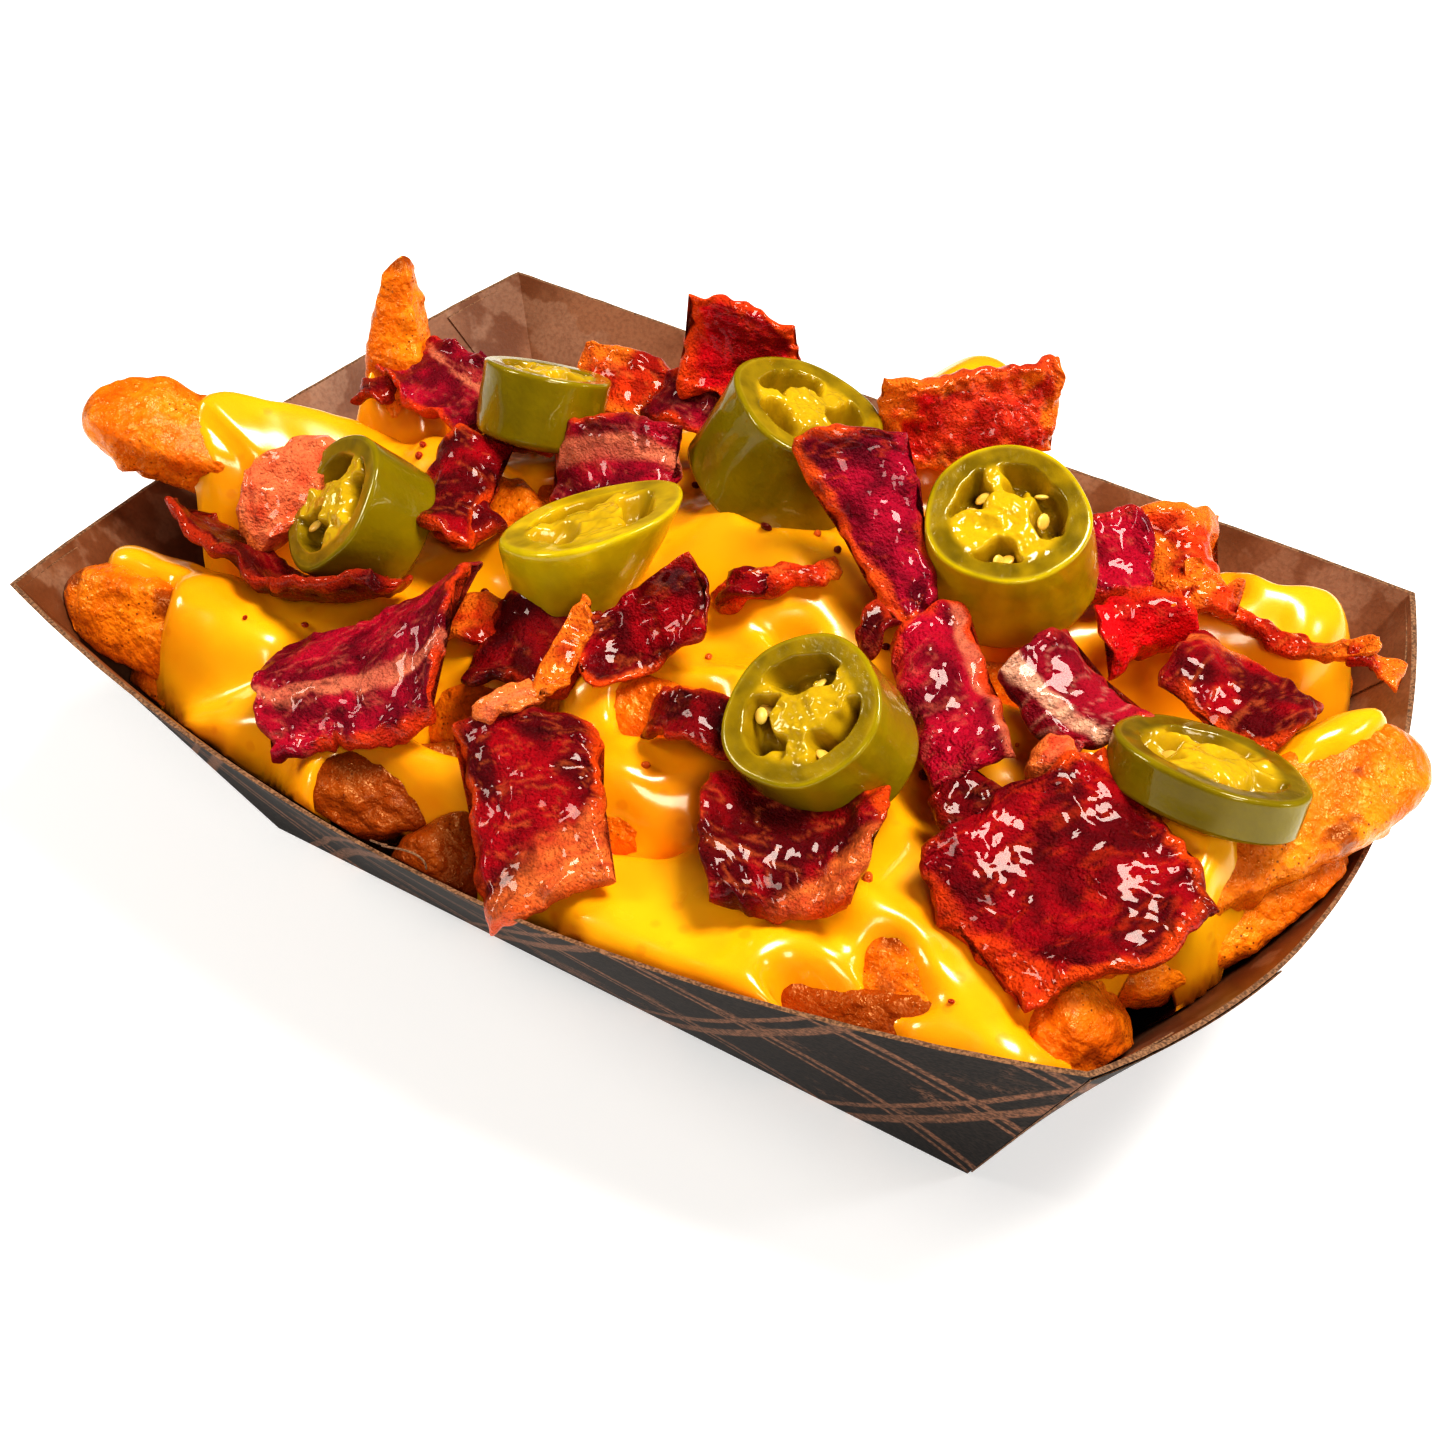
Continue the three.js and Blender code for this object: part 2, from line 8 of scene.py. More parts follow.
import bmesh
import bpy
import numpy as np
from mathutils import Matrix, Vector


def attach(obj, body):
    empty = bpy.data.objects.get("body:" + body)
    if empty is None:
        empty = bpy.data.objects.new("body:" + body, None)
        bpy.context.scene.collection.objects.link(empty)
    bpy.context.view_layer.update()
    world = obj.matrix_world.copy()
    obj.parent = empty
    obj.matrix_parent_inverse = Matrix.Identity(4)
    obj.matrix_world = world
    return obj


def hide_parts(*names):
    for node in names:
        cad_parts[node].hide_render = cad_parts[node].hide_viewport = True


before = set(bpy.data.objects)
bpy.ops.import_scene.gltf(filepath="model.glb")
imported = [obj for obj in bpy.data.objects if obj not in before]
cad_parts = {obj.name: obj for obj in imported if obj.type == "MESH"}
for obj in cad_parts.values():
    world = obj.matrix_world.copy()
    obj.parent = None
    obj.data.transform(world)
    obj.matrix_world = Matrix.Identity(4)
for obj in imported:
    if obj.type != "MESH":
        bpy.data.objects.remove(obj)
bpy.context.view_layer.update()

# ------------------------------------------------------------------ counter, light and camera
# The dish stands on a plain white counter, and is seen from above its front right corner. A
# large soft lamp shines down from the right and behind, with weaker ones from the left, from
# the front and low from the right.
LOOK_AT = (-2.4, 0.4, 22.1)
CAMERA_TURN = math.radians(33.4)
CAMERA_RISE = math.radians(38.8)
CAMERA_AWAY = 339.0
LENS = 50.95

scene = bpy.context.scene
scene.view_settings.view_transform = "Standard"
scene.view_settings.look = "High Contrast"

backwards = Vector(
    (
        math.sin(CAMERA_TURN) * math.cos(CAMERA_RISE),
        -math.cos(CAMERA_TURN) * math.cos(CAMERA_RISE),
        math.sin(CAMERA_RISE),
    )
)
camera = bpy.data.objects.new("camera", bpy.data.cameras.new("camera"))
camera.data.lens = LENS
camera.data.sensor_width = 36.0
camera.data.clip_start = 0.01
camera.location = (Vector(LOOK_AT) + backwards * CAMERA_AWAY) * 0.001
camera.rotation_euler = (-backwards).to_track_quat("-Z", "Y").to_euler()
scene.collection.objects.link(camera)
scene.camera = camera

world = bpy.data.worlds.new("white_room")
world.use_nodes = True
world.node_tree.nodes["Background"].inputs["Color"].default_value = (1.0, 0.99, 0.98, 1)
world.node_tree.nodes["Background"].inputs["Strength"].default_value = 0.08
scene.world = world


def soft_lamp(name, place, size, watts, colour=(1, 1, 1)):
    """Square lamp of that size in metres, turned towards the middle of the dish."""
    lamp = bpy.data.objects.new(name, bpy.data.lights.new(name, "AREA"))
    lamp.data.shape = "SQUARE"
    lamp.data.size = size
    lamp.data.energy = watts
    lamp.data.color = colour
    lamp.location = place
    to_dish = Vector((0, 0, 0.03)) - Vector(place)
    lamp.rotation_euler = to_dish.to_track_quat("-Z", "Y").to_euler()
    scene.collection.objects.link(lamp)


LAMP_COLOUR = (1.0, 0.94, 0.84)
soft_lamp("high_lamp", (0.28, 0.14, 0.80), 0.30, 6.7, LAMP_COLOUR)
soft_lamp("side_lamp", (-0.50, -0.30, 0.45), 0.20, 1.6, LAMP_COLOUR)
soft_lamp("front_lamp", (0.52, -0.50, 0.55), 0.24, 1.8, LAMP_COLOUR)
soft_lamp("window_lamp", (0.60, 0.28, 0.36), 0.12, 0.5)


def finish(name, **values):
    """New material whose Principled shader has the given values on its own sockets."""
    made = bpy.data.materials.new(name)
    made.use_nodes = True
    shader = made.node_tree.nodes["Principled BSDF"]
    for key, value in values.items():
        shader.inputs[key.replace("_", " ")].default_value = value
    return made, made.node_tree, shader


counter_white, _, _ = finish(
    "counter_white",
    Base_Color=(0.86, 0.88, 0.92, 1),
    Roughness=0.6,
    Emission_Color=(1, 1, 1, 1),
    Emission_Strength=0.33,
)
COUNTER_HALF = 3.0
counter_mesh = bpy.data.meshes.new("counter")
counter_corners = [(x * COUNTER_HALF, y * COUNTER_HALF, 0) for x, y in ((-1, -1), (1, -1), (1, 1), (-1, 1))]
counter_mesh.from_pydata(counter_corners, [], [(0, 1, 2, 3)])
counter_mesh.materials.append(counter_white)
counter = bpy.data.objects.new("counter", counter_mesh)
scene.collection.objects.link(counter)

# ------------------------------------------------------------------ paper tray
# A boat tray folded from one sheet of kraft board: waxed brown inside, printed near black
# outside with worn crossing lines, and pale at its cut edges. Its corners are folded into
# gussets that lie against the two short ends.
BOARD = 0.6
INNER_INSET = 0.69  # of the inside from the outside, so that the slanting wall is a board thick
RIM_CORNERS = ((-93.6, -63.0, 51.5), (91.0, -62.0, 51.2), (89.5, 61.0, 48.0), (-92.0, 64.3, 52.5))
BASE_CORNERS = ((-64.7, -43.3), (69.5, -44.0), (68.0, 43.5), (-68.0, 43.5))
SIDE_WAY = ((0, -1), (1, 0), (0, 1), (-1, 0))
SIDE_BULGE = (11.0, 13.0, 11.0, 13.0)
SIDE_DIP = 7.0
COLUMNS = 72
WALL_ROWS = 26


def uneven(points, size, seed, layers=3):
    """Smooth uneven values from -1 to 1 at points: random numbers on the corners of a
    lattice of that size, eased between by a cubic, plus layers of half the size and height."""
    total = np.zeros(points.shape[:-1])
    height = 1.0
    reach = 0.0
    for layer in range(layers):
        q = points / size * 2.0**layer + 13.7 * seed + 5.3 * layer
        cell = np.floor(q).astype(np.int64)
        f = q - cell
        f = f * f * (3 - 2 * f)
        for corner in np.ndindex(2, 2, 2):
            c = cell + np.array(corner)
            h = c[..., 0] * 73856093 ^ c[..., 1] * 19349663 ^ c[..., 2] * 83492791 ^ (seed * 7919)
            h = (h ^ (h >> 13)) * 1274126177
            h = ((h ^ (h >> 16)) & 0xFFFFFF) / 0x7FFFFF - 1
            weight = np.prod(np.where(corner, f, 1 - f), axis=-1)
            total = total + height * h * weight
        reach += height
        height *= 0.5
    return total / reach


def grid_quads(rows, columns, closed=False, start=0):
    """Quads between the points of a grid laid row by row; closed joins last column to first."""
    i = np.arange(rows - 1)[:, None]
    j = np.arange(columns if closed else columns - 1)[None, :]
    a = start + i * columns + j
    b = start + i * columns + (j + 1) % columns
    return np.stack([a, b, b + columns, a + columns], axis=-1).reshape(-1, 4)


def cap(ring_start, columns, pole, outward=True):
    """Triangles from a closed ring of points to one pole."""
    j = np.arange(columns)
    a = ring_start + j
    b = ring_start + (j + 1) % columns
    p = np.full(columns, pole)
    return np.stack([a, b, p] if outward else [b, a, p], axis=-1)


def ringed(rows, columns, flipped=False):
    """Faces of a closed body laid as rings of points, with the first ring's pole and then the
    last ring's pole after them; flipped where the rings run the other way round."""
    poles = rows * columns
    quads = grid_quads(rows, columns, closed=True)
    return [
        quads[:, ::-1] if flipped else quads,
        cap(0, columns, poles, outward=flipped),
        cap(poles - columns, columns, poles + 1, outward=not flipped),
    ]


def lay(name, points, faces, materials, slots=None, colours=None, crease=None):
    """Mesh object of points in millimetres and of arrays of triangles or quads, laid down in
    metres and smooth shaded; slots numbers each face's material, colours tints each point."""
    mesh = bpy.data.meshes.new(name)
    points = np.asarray(points, dtype=float).reshape(-1, 3)
    mesh.vertices.add(len(points))
    mesh.vertices.foreach_set("co", (points * 0.001).ravel())
    sizes = np.concatenate([np.full(len(f), f.shape[1]) for f in faces])
    mesh.loops.add(int(sizes.sum()))
    mesh.loops.foreach_set("vertex_index", np.concatenate([f.ravel() for f in faces]).astype(np.int32))
    mesh.polygons.add(len(sizes))
    mesh.polygons.foreach_set(
        "loop_start", np.concatenate([[0], np.cumsum(sizes)[:-1]]).astype(np.int32)
    )
    for one in materials:
        mesh.materials.append(one)
    if slots is not None:
        mesh.polygons.foreach_set("material_index", np.asarray(slots, dtype=np.int32))
    mesh.update(calc_edges=True)
    mesh.polygons.foreach_set("use_smooth", np.ones(len(sizes), dtype=bool))
    if crease is not None:
        mesh.set_sharp_from_angle(angle=math.radians(crease))
    if colours is not None:
        tint = mesh.color_attributes.new("tint", "FLOAT_COLOR", "POINT")
        rgba = np.concatenate([colours.reshape(-1, 3), np.ones((len(points), 1))], axis=1)
        tint.data.foreach_set("color", rgba.ravel())
    made = bpy.data.objects.new(name, mesh)
    scene.collection.objects.link(made)
    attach(made, "root")
    return made


def wall(side, s, level, inset=0.0):
    """Point on a side wall: s runs along the side and level from the foot at 0 to the rim at
    1. Straight between the corners, plus a bow outward and a dip that are largest mid-side
    and grow with the level, plus slow waves of the board."""
    a, b = side, (side + 1) % 4
    way = np.array(SIDE_WAY[side], dtype=float)
    s = np.asarray(s, dtype=float)[..., None]
    level = np.asarray(level, dtype=float)[..., None]
    in_a = np.sign(RIM_CORNERS[a][:2]) * inset
    in_b = np.sign(RIM_CORNERS[b][:2]) * inset
    foot = (BASE_CORNERS[a] - in_a) * (1 - s) + (BASE_CORNERS[b] - in_b) * s
    rim = (RIM_CORNERS[a][:2] - in_a) * (1 - s) + (RIM_CORNERS[b][:2] - in_b) * s
    bow = 4 * s * (1 - s)
    flat = foot * (1 - level) + rim * level + way * SIDE_BULGE[side] * bow * level
    rise = (RIM_CORNERS[a][2] * (1 - s) + RIM_CORNERS[b][2] * s - SIDE_DIP * bow) * level
    place = np.concatenate([flat, rise], axis=-1)
    wave = 0.55 * uneven(place + way.sum() * 90, 34.0, 3, 2) * np.sqrt(bow[..., 0])
    place[..., :2] += (wave * np.sqrt(level[..., 0]))[..., None] * way
    return place


def kept_inside(points, gap=1.0, spill=1.6):
    """Points with those that would pass through a wall moved back to a gap inside it. Above
    the rim they may hang out by spill times their height over it."""
    points = points.copy()
    for side in range(4):
        a, b = side, (side + 1) % 4
        along, across = side % 2, 1 - side % 2
        way = SIDE_WAY[side][across]
        level = np.clip(points[:, 2] / 50, 0, 1)
        for _ in range(2):
            start = BASE_CORNERS[a][along] * (1 - level) + RIM_CORNERS[a][along] * level
            stop = BASE_CORNERS[b][along] * (1 - level) + RIM_CORNERS[b][along] * level
            s = np.clip((points[:, along] - start) / (stop - start), 0, 1)
            rim = RIM_CORNERS[a][2] * (1 - s) + RIM_CORNERS[b][2] * s - SIDE_DIP * 4 * s * (1 - s)
            level = np.clip(points[:, 2] / rim, 0, 1)
        limit = wall(side, s, level)[:, across] * way - gap - BOARD
        limit = limit + spill * np.clip(points[:, 2] - rim, 0, None)
        points[:, across] = way * np.minimum(points[:, across] * way, limit)
    points[:, 2] = np.maximum(points[:, 2], BOARD + 0.4)
    return points


def tray_ring(level, inset, lift=0.0):
    """Ring of points round the four walls at one level, raised by lift at the foot."""
    s = np.arange(COLUMNS) / COLUMNS
    ring = np.concatenate([wall(side, s, np.full(COLUMNS, level), inset) for side in range(4)])
    ring[:, 2] += lift * (1 - level)
    return ring


# Rings up the outside, over the cut rim and down the inside; the bottom closes both ends.
levels = np.linspace(0, 1, WALL_ROWS)
ragged = 0.12 * uneven(tray_ring(1, 0), 1.1, 8, 2)
rings = [tray_ring(level, 0) for level in levels]
rings += [tray_ring(level, INNER_INSET, BOARD) for level in levels[::-1]]
rings[WALL_ROWS - 1][:, 2] += ragged
rings[WALL_ROWS][:, 2] += ragged
around = 4 * COLUMNS
tray_points = np.concatenate(rings + [[[0, 0, 0.0]], [[0, 0, BOARD]]])
row_of = np.repeat(np.arange(2 * WALL_ROWS - 1), around)
tray_slots = np.where(row_of < WALL_ROWS - 1, 1, np.where(row_of == WALL_ROWS - 1, 2, 0))
tray_slots = np.concatenate([tray_slots, np.ones(around), np.zeros(around)])


def maths(tree, operation, *values):
    """Math node of that operation, fed by sockets or by plain numbers."""
    made = tree.nodes.new("ShaderNodeMath")
    made.operation = operation
    for socket, value in zip(made.inputs, values):
        if isinstance(value, (int, float)):
            socket.default_value = value
        else:
            tree.links.new(value, socket)
    return made.outputs[0]


def blend_colours(tree, share, low, high):
    """Mix of two colours, each a socket or a plain colour, by a socket's share."""
    made = tree.nodes.new("ShaderNodeMix")
    made.data_type = "RGBA"
    for socket, value in ((made.inputs[0], share), (made.inputs[6], low), (made.inputs[7], high)):
        if isinstance(value, bpy.types.NodeSocket):
            tree.links.new(value, socket)
        else:
            socket.default_value = (*value, 1)
    return made.outputs[2]


def ramp(tree, value, low, high, out_low=0.0, out_high=1.0):
    """Value eased from out_low to out_high as it goes from low to high."""
    made = tree.nodes.new("ShaderNodeMapRange")
    made.interpolation_type = "SMOOTHSTEP"
    tree.links.new(value, made.inputs["Value"])
    for name, number in (("From Min", low), ("From Max", high), ("To Min", out_low), ("To Max", out_high)):
        made.inputs[name].default_value = number
    return made.outputs["Result"]


SPECK_RADIUS, SPECK_CORE, SPECK_SHARE = 0.28, 0.16, 0.38


def mottle_group():
    """Group 'mottle': soft patches, fine grain and small specks from one set of coordinates,
    each a noise of its own scale, put out as values from 0 to 1. Specks are the cells of a
    Voronoi pattern up to a radius, in a share of the cells."""
    group = bpy.data.node_groups.new("mottle", "ShaderNodeTree")
    group.interface.new_socket("Coordinates", in_out="INPUT", socket_type="NodeSocketVector")
    for name, value in (("Patch Scale", 40.0), ("Grain Scale", 900.0), ("Speck Scale", 500.0)):
        socket = group.interface.new_socket(name, in_out="INPUT", socket_type="NodeSocketFloat")
        socket.default_value = value
    for name in ("Patches", "Grain", "Specks"):
        group.interface.new_socket(name, in_out="OUTPUT", socket_type="NodeSocketFloat")
    inside = group.nodes.new("NodeGroupInput")
    outside = group.nodes.new("NodeGroupOutput")
    for out, scale, detail in (("Patches", "Patch Scale", 4.0), ("Grain", "Grain Scale", 3.0)):
        cloud = group.nodes.new("ShaderNodeTexNoise")
        cloud.inputs["Detail"].default_value = detail
        group.links.new(inside.outputs["Coordinates"], cloud.inputs["Vector"])
        group.links.new(inside.outputs[scale], cloud.inputs["Scale"])
        group.links.new(cloud.outputs[0], outside.inputs[out])
    spots = group.nodes.new("ShaderNodeTexVoronoi")
    group.links.new(inside.outputs["Coordinates"], spots.inputs["Vector"])
    group.links.new(inside.outputs["Speck Scale"], spots.inputs["Scale"])
    round_spot = group.nodes.new("ShaderNodeMapRange")
    group.links.new(spots.outputs["Distance"], round_spot.inputs["Value"])
    round_spot.inputs["From Min"].default_value = SPECK_RADIUS
    round_spot.inputs["From Max"].default_value = SPECK_CORE
    picked = group.nodes.new("ShaderNodeSeparateColor")
    group.links.new(spots.outputs["Color"], picked.inputs[0])
    rare = maths(group, "GREATER_THAN", picked.outputs[0], 1 - SPECK_SHARE)
    group.links.new(maths(group, "MULTIPLY", round_spot.outputs[0], rare), outside.inputs["Specks"])
    return group


mottle = mottle_group()


def mottled(tree, patch, grain, speck):
    """The mottle group on Object coordinates; gives its patches, grain and specks."""
    spread = tree.nodes.new("ShaderNodeTexCoord")
    made = tree.nodes.new("ShaderNodeGroup")
    made.node_tree = mottle
    made.inputs["Patch Scale"].default_value = patch
    made.inputs["Grain Scale"].default_value = grain
    made.inputs["Speck Scale"].default_value = speck
    tree.links.new(spread.outputs["Object"], made.inputs["Coordinates"])
    return made.outputs["Patches"], made.outputs["Grain"], made.outputs["Specks"]


def tinted(tree):
    """The colour that each point of the mesh carries."""
    made = tree.nodes.new("ShaderNodeVertexColor")
    made.layer_name = "tint"
    return made.outputs[0]


def raised(tree, shader, height, strength, distance):
    """Bump of the given height into the shader's normal."""
    bump = tree.nodes.new("ShaderNodeBump")
    bump.inputs["Strength"].default_value = strength
    bump.inputs["Distance"].default_value = distance
    tree.links.new(height, bump.inputs["Height"])
    tree.links.new(bump.outputs[0], shader.inputs["Normal"])


# Waxed inside: warm brown with paler, greyer patches and grease stains, and a soft sheen.
GREASE = (0.42, 0.27, 0.19)
kraft_inside, tree, shader = finish("kraft_inside", Roughness=0.42, Coat_Weight=0.12, Coat_Roughness=0.35)
patches, grain, _ = mottled(tree, 55, 1400, 420)
colour = blend_colours(tree, ramp(tree, patches, 0.35, 0.68), (0.17, 0.062, 0.024), (0.31, 0.150, 0.080))
stains, _, drops = mottled(tree, 90, 1400, 120)
for greasy in (ramp(tree, stains, 0.53, 0.58, 0, 0.35), maths(tree, "MULTIPLY", drops, 0.3)):
    colour = blend_colours(tree, greasy, colour, GREASE)
colour = blend_colours(tree, ramp(tree, grain, 0.35, 0.75, 0, 0.35), colour, (0.12, 0.040, 0.016))
tree.links.new(colour, shader.inputs["Base Color"])
tree.links.new(ramp(tree, patches, 0.3, 0.7, 0.36, 0.52), shader.inputs["Roughness"])
raised(tree, shader, grain, 0.25, 0.0002)

# Printed outside: near black ink, worn through in streaks, with crossing brown lines.
printed_outside, tree, shader = finish("printed_outside", Roughness=0.6, Specular_IOR_Level=0.15)
patches, grain, _ = mottled(tree, 70, 1500, 600)
place = tree.nodes.new("ShaderNodeTexCoord")
facing = tree.nodes.new("ShaderNodeNewGeometry")
place_split, facing_split = (tree.nodes.new("ShaderNodeSeparateXYZ") for _ in range(2))
tree.links.new(place.outputs["Object"], place_split.inputs[0])
tree.links.new(facing.outputs["True Normal"], facing_split.inputs[0])
facing_x, facing_y = (maths(tree, "ABSOLUTE", facing_split.outputs[axis]) for axis in (0, 1))
along = tree.nodes.new("ShaderNodeMix")
tree.links.new(maths(tree, "GREATER_THAN", facing_x, facing_y), along.inputs[0])
tree.links.new(place_split.outputs[0], along.inputs[2])
tree.links.new(place_split.outputs[1], along.inputs[3])
# each set of lines: slope, distance between lines, shift, and width as a share of the distance
LINES = (
    (0.95, 0.030, 0.0, 0.050),
    (0.95, 0.030, 0.004, 0.030),
    (-0.95, 0.034, 0.0, 0.050),
    (-0.95, 0.034, 0.005, 0.030),
)
LINE_SHAKE = 0.0016
lines = 0.0
for slope, period, shift, width in LINES:
    across = maths(tree, "MULTIPLY_ADD", place_split.outputs[2], slope, along.outputs[0])
    shaken = maths(tree, "MULTIPLY_ADD", patches, LINE_SHAKE, maths(tree, "ADD", across, shift))
    phase = maths(tree, "FRACT", maths(tree, "DIVIDE", shaken, period))
    off = maths(tree, "ABSOLUTE", maths(tree, "SUBTRACT", phase, 0.5))
    lines = maths(tree, "MAXIMUM", lines, ramp(tree, off, width, width * 0.6))
worn = ramp(tree, grain, 0.40, 0.62)
lines = maths(tree, "MULTIPLY", lines, maths(tree, "MULTIPLY_ADD", worn, 0.65, 0.35))
rubbed = ramp(tree, patches, 0.56, 0.70, 0, 0.8)
shown = maths(tree, "MAXIMUM", lines, maths(tree, "MULTIPLY", rubbed, worn))
ink = blend_colours(tree, ramp(tree, grain, 0.3, 0.7), (0.007, 0.0045, 0.0035), (0.026, 0.017, 0.012))
colour = blend_colours(tree, shown, ink, (0.26, 0.12, 0.065))
tree.links.new(colour, shader.inputs["Base Color"])
raised(tree, shader, grain, 0.2, 0.0002)

# Cut edge of the board: pale torn fibres.
cut_board, tree, shader = finish("cut_board", Roughness=0.8)
_, grain, _ = mottled(tree, 200, 2500, 900)
tree.links.new(
    blend_colours(tree, ramp(tree, grain, 0.35, 0.65), (0.10, 0.048, 0.024), (0.30, 0.160, 0.085)),
    shader.inputs["Base Color"],
)

tray_finishes = [kraft_inside, printed_outside, cut_board]
tray_faces = ringed(2 * WALL_ROWS, around)
tray = lay("paper_tray", tray_points, tray_faces, tray_finishes, tray_slots, crease=28)
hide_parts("tray")


def gusset(side, start, reach, low, inset, stand):
    """Folded flap on an end wall, between the corner's edge and a slanting free edge: the
    wall's own surface, moved off it by inset and by up to stand at the free edge, with a
    back face a little behind it and a cut edge all round."""
    across = np.linspace(0, 1, 12)[None, :]
    up = np.linspace(low, 0.985, 26)[:, None]
    free = reach * np.clip((up - low) / (1 - low), 0, 1) ** 0.9
    s = np.abs(start - across * free - 0.002)
    level = np.broadcast_to(up, s.shape)
    face = wall(side, s, level)
    way = np.array((*SIDE_WAY[side], 0.0))
    face = face + way * (inset + stand * (across**2 * up)[..., None])
    back = face - way * 0.25 * np.sign(inset)
    points = np.concatenate([face.reshape(-1, 3), back.reshape(-1, 3)])
    n = s.size
    front_quads = grid_quads(*s.shape)
    back_quads = grid_quads(*s.shape, start=n)[:, ::-1]
    rows, columns = s.shape
    ring = np.concatenate(
        [
            np.arange(columns),
            np.arange(1, rows) * columns + columns - 1,
            np.arange(columns - 2, -1, -1) + (rows - 1) * columns,
            np.arange(rows - 2, 0, -1) * columns,
        ]
    )
    nxt = np.roll(ring, -1)
    rim_quads = np.stack([ring, ring + n, nxt + n, nxt], axis=-1)
    slots = np.concatenate([np.zeros(2 * len(front_quads)), np.ones(len(rim_quads))])
    return points, [front_quads, back_quads, rim_quads], slots


# corner: its end wall, and the end of that wall at which the flap starts
CORNERS = {"right_front": (1, 0), "right_back": (1, 1), "left_back": (3, 0), "left_front": (3, 1)}
# kind of flap: reach, lowest level, inset, stand and finish
FLAPS = {
    "gusset": (0.30, 0.02, 0.35, 0.3, printed_outside),
    "crease": (0.13, 0.35, -1.1, -0.3, kraft_inside),
}
for kind, (reach, low, inset, stand, face_finish) in FLAPS.items():
    for corner, (side, start) in CORNERS.items():
        points, faces, slots = gusset(side, start, reach, low, inset, stand)
        flap = lay(f"{kind}_{corner}", points, faces, [face_finish, cut_board], slots, crease=30)
        # The grid runs the other way on two of the corners, so the faces are turned outwards.
        turned = bmesh.new()
        turned.from_mesh(flap.data)
        bmesh.ops.recalc_face_normals(turned, faces=turned.faces)
        turned.to_mesh(flap.data)
        turned.free()


def tube(path, radius, sides=8):
    """Round tube along a path of points: a circle of that radius, which may change along the
    path, carried on two directions square to the path, closed by a pole at each end."""
    path = np.asarray(path, dtype=float)
    radius = np.broadcast_to(radius, len(path))[:, None, None]
    ahead = np.gradient(path, axis=0)
    ahead /= np.linalg.norm(ahead, axis=1, keepdims=True)
    side = np.cross(ahead, (0.13, 0.21, 0.97))
    side /= np.linalg.norm(side, axis=1, keepdims=True)
    other = np.cross(ahead, side)
    a = np.linspace(0, 2 * np.pi, sides, endpoint=False)[None, :, None]
    ring = path[:, None, :] + radius * (np.cos(a) * side[:, None, :] + np.sin(a) * other[:, None, :])
    points = np.concatenate([ring.reshape(-1, 3), path[:1], path[-1:]])
    return points, ringed(len(path), sides)


# A torn fibre curls over the front rim.
t = np.linspace(0, 1, 40)[:, None]
curl = np.concatenate(
    [
        -12.0 + 9.0 * t + 1.6 * np.sin(9 * t),
        -72.6 + 0.3 * t - 0.8 * np.sin(np.pi * t),
        45.6 + 1.5 * np.sin(np.pi * t) + 1.2 * np.sin(10 * t) * t,
    ],
    axis=1,
)
points, faces = tube(curl, 0.16)
fibre = lay("rim_fibre", points, faces, [cut_board])

# ------------------------------------------------------------------ potato wedges
# Thick wedges of potato with the skin side rounded and two cut faces, in a thin seasoned
# coating that fries golden, bubbled and a little darker along the edges.
# Each wedge: root, tip, width, height, roll.
SHOWN_WEDGES = [
    ((-66, 2, 42), (-105, -33, 65), 20, 17, 20),
    ((-52, -45, 40), (-94, -51, 45), 20, 16, -20),
    ((-50, -44, 30), (-83, -50, 35), 20, 17, 0),
    ((70, -42, 42), (103, 19, 52), 21, 18, -15),
    ((77, -33, 38), (99, 4, 42), 19, 17, -10),
    ((62, -28, 38), (87, -49, 36), 20, 19, 0),
    ((38, -61, 31), (74, -50, 35), 22, 18, 10),
    ((46, -44, 41), (84, -58, 33), 19, 15, 0),
    ((2, -38, 33), (-14, -67, 33), 18, 16, 0),
    ((-8, -40, 37), (-34, -66, 38), 17, 15, 0),
    ((4, 30, 50), (20, 52, 68), 20, 17, 0),
    ((50, 27, 47), (84, 42, 48), 21, 17, 0),
    ((-10, -38, 46), (30, -22, 49), 20, 17, 0),
    ((-20, -4, 47), (-64, -2, 50), 19, 17, 0),
    ((-66, 44, 33), (-12, 53, 37), 23, 18, 10),
    ((-2, 52, 35), (44, 54, 38), 22, 18, -15),
    ((40, 44, 35), (82, 44, 34), 21, 17, 5),
    ((-70, 5, 32), (-80, 18, 78), 17, 14, 30),
]
STANDING = 17  # row of the thin wedge that stands up out of the heap
STANDING_POINT = 0.45  # how much its section shrinks to the tip
ROWS_IN_PAINTED_SHADE = (6, 8, 9)  # rows of the wedges low at the front, given painted shade as a darker crust
HALF_SECTION = ((0.3, 0.22), (0.5, -0.12), (0.3, -0.43))
WEDGE_SECTION = np.array(
    [(0, 0.5), *((-y, z) for y, z in HALF_SECTION), (0, -0.52), *HALF_SECTION[::-1]]
)


MOUND_EDGE, MOUND_RISE = 43, 17
MOUND_HALF_LENGTH, MOUND_HALF_WIDTH = 100, 72


def mound(x, y):
    """Height of the heap's surface: the edge's height, plus a rise that falls off as a
    parabola both ways, and a little higher at the back."""
    along = np.clip(1 - (x / MOUND_HALF_LENGTH) ** 2, 0, None)
    across = np.clip(1 - (y / MOUND_HALF_WIDTH) ** 2, 0, None)
    return MOUND_EDGE + MOUND_RISE * along * across + y / 20


def turned_by(turn, tip, roll):
    """Rotation that rolls about the length, tips the +X end up, then turns about +Z."""
    a, b, c = np.radians([turn, -tip, roll])
    about_z = np.array([[math.cos(a), -math.sin(a), 0], [math.sin(a), math.cos(a), 0], [0, 0, 1]])
    about_y = np.array([[math.cos(b), 0, math.sin(b)], [0, 1, 0], [-math.sin(b), 0, math.cos(b)]])
    about_x = np.array([[1, 0, 0], [0, math.cos(c), -math.sin(c)], [0, math.sin(c), math.cos(c)]])
    return about_z @ about_y @ about_x


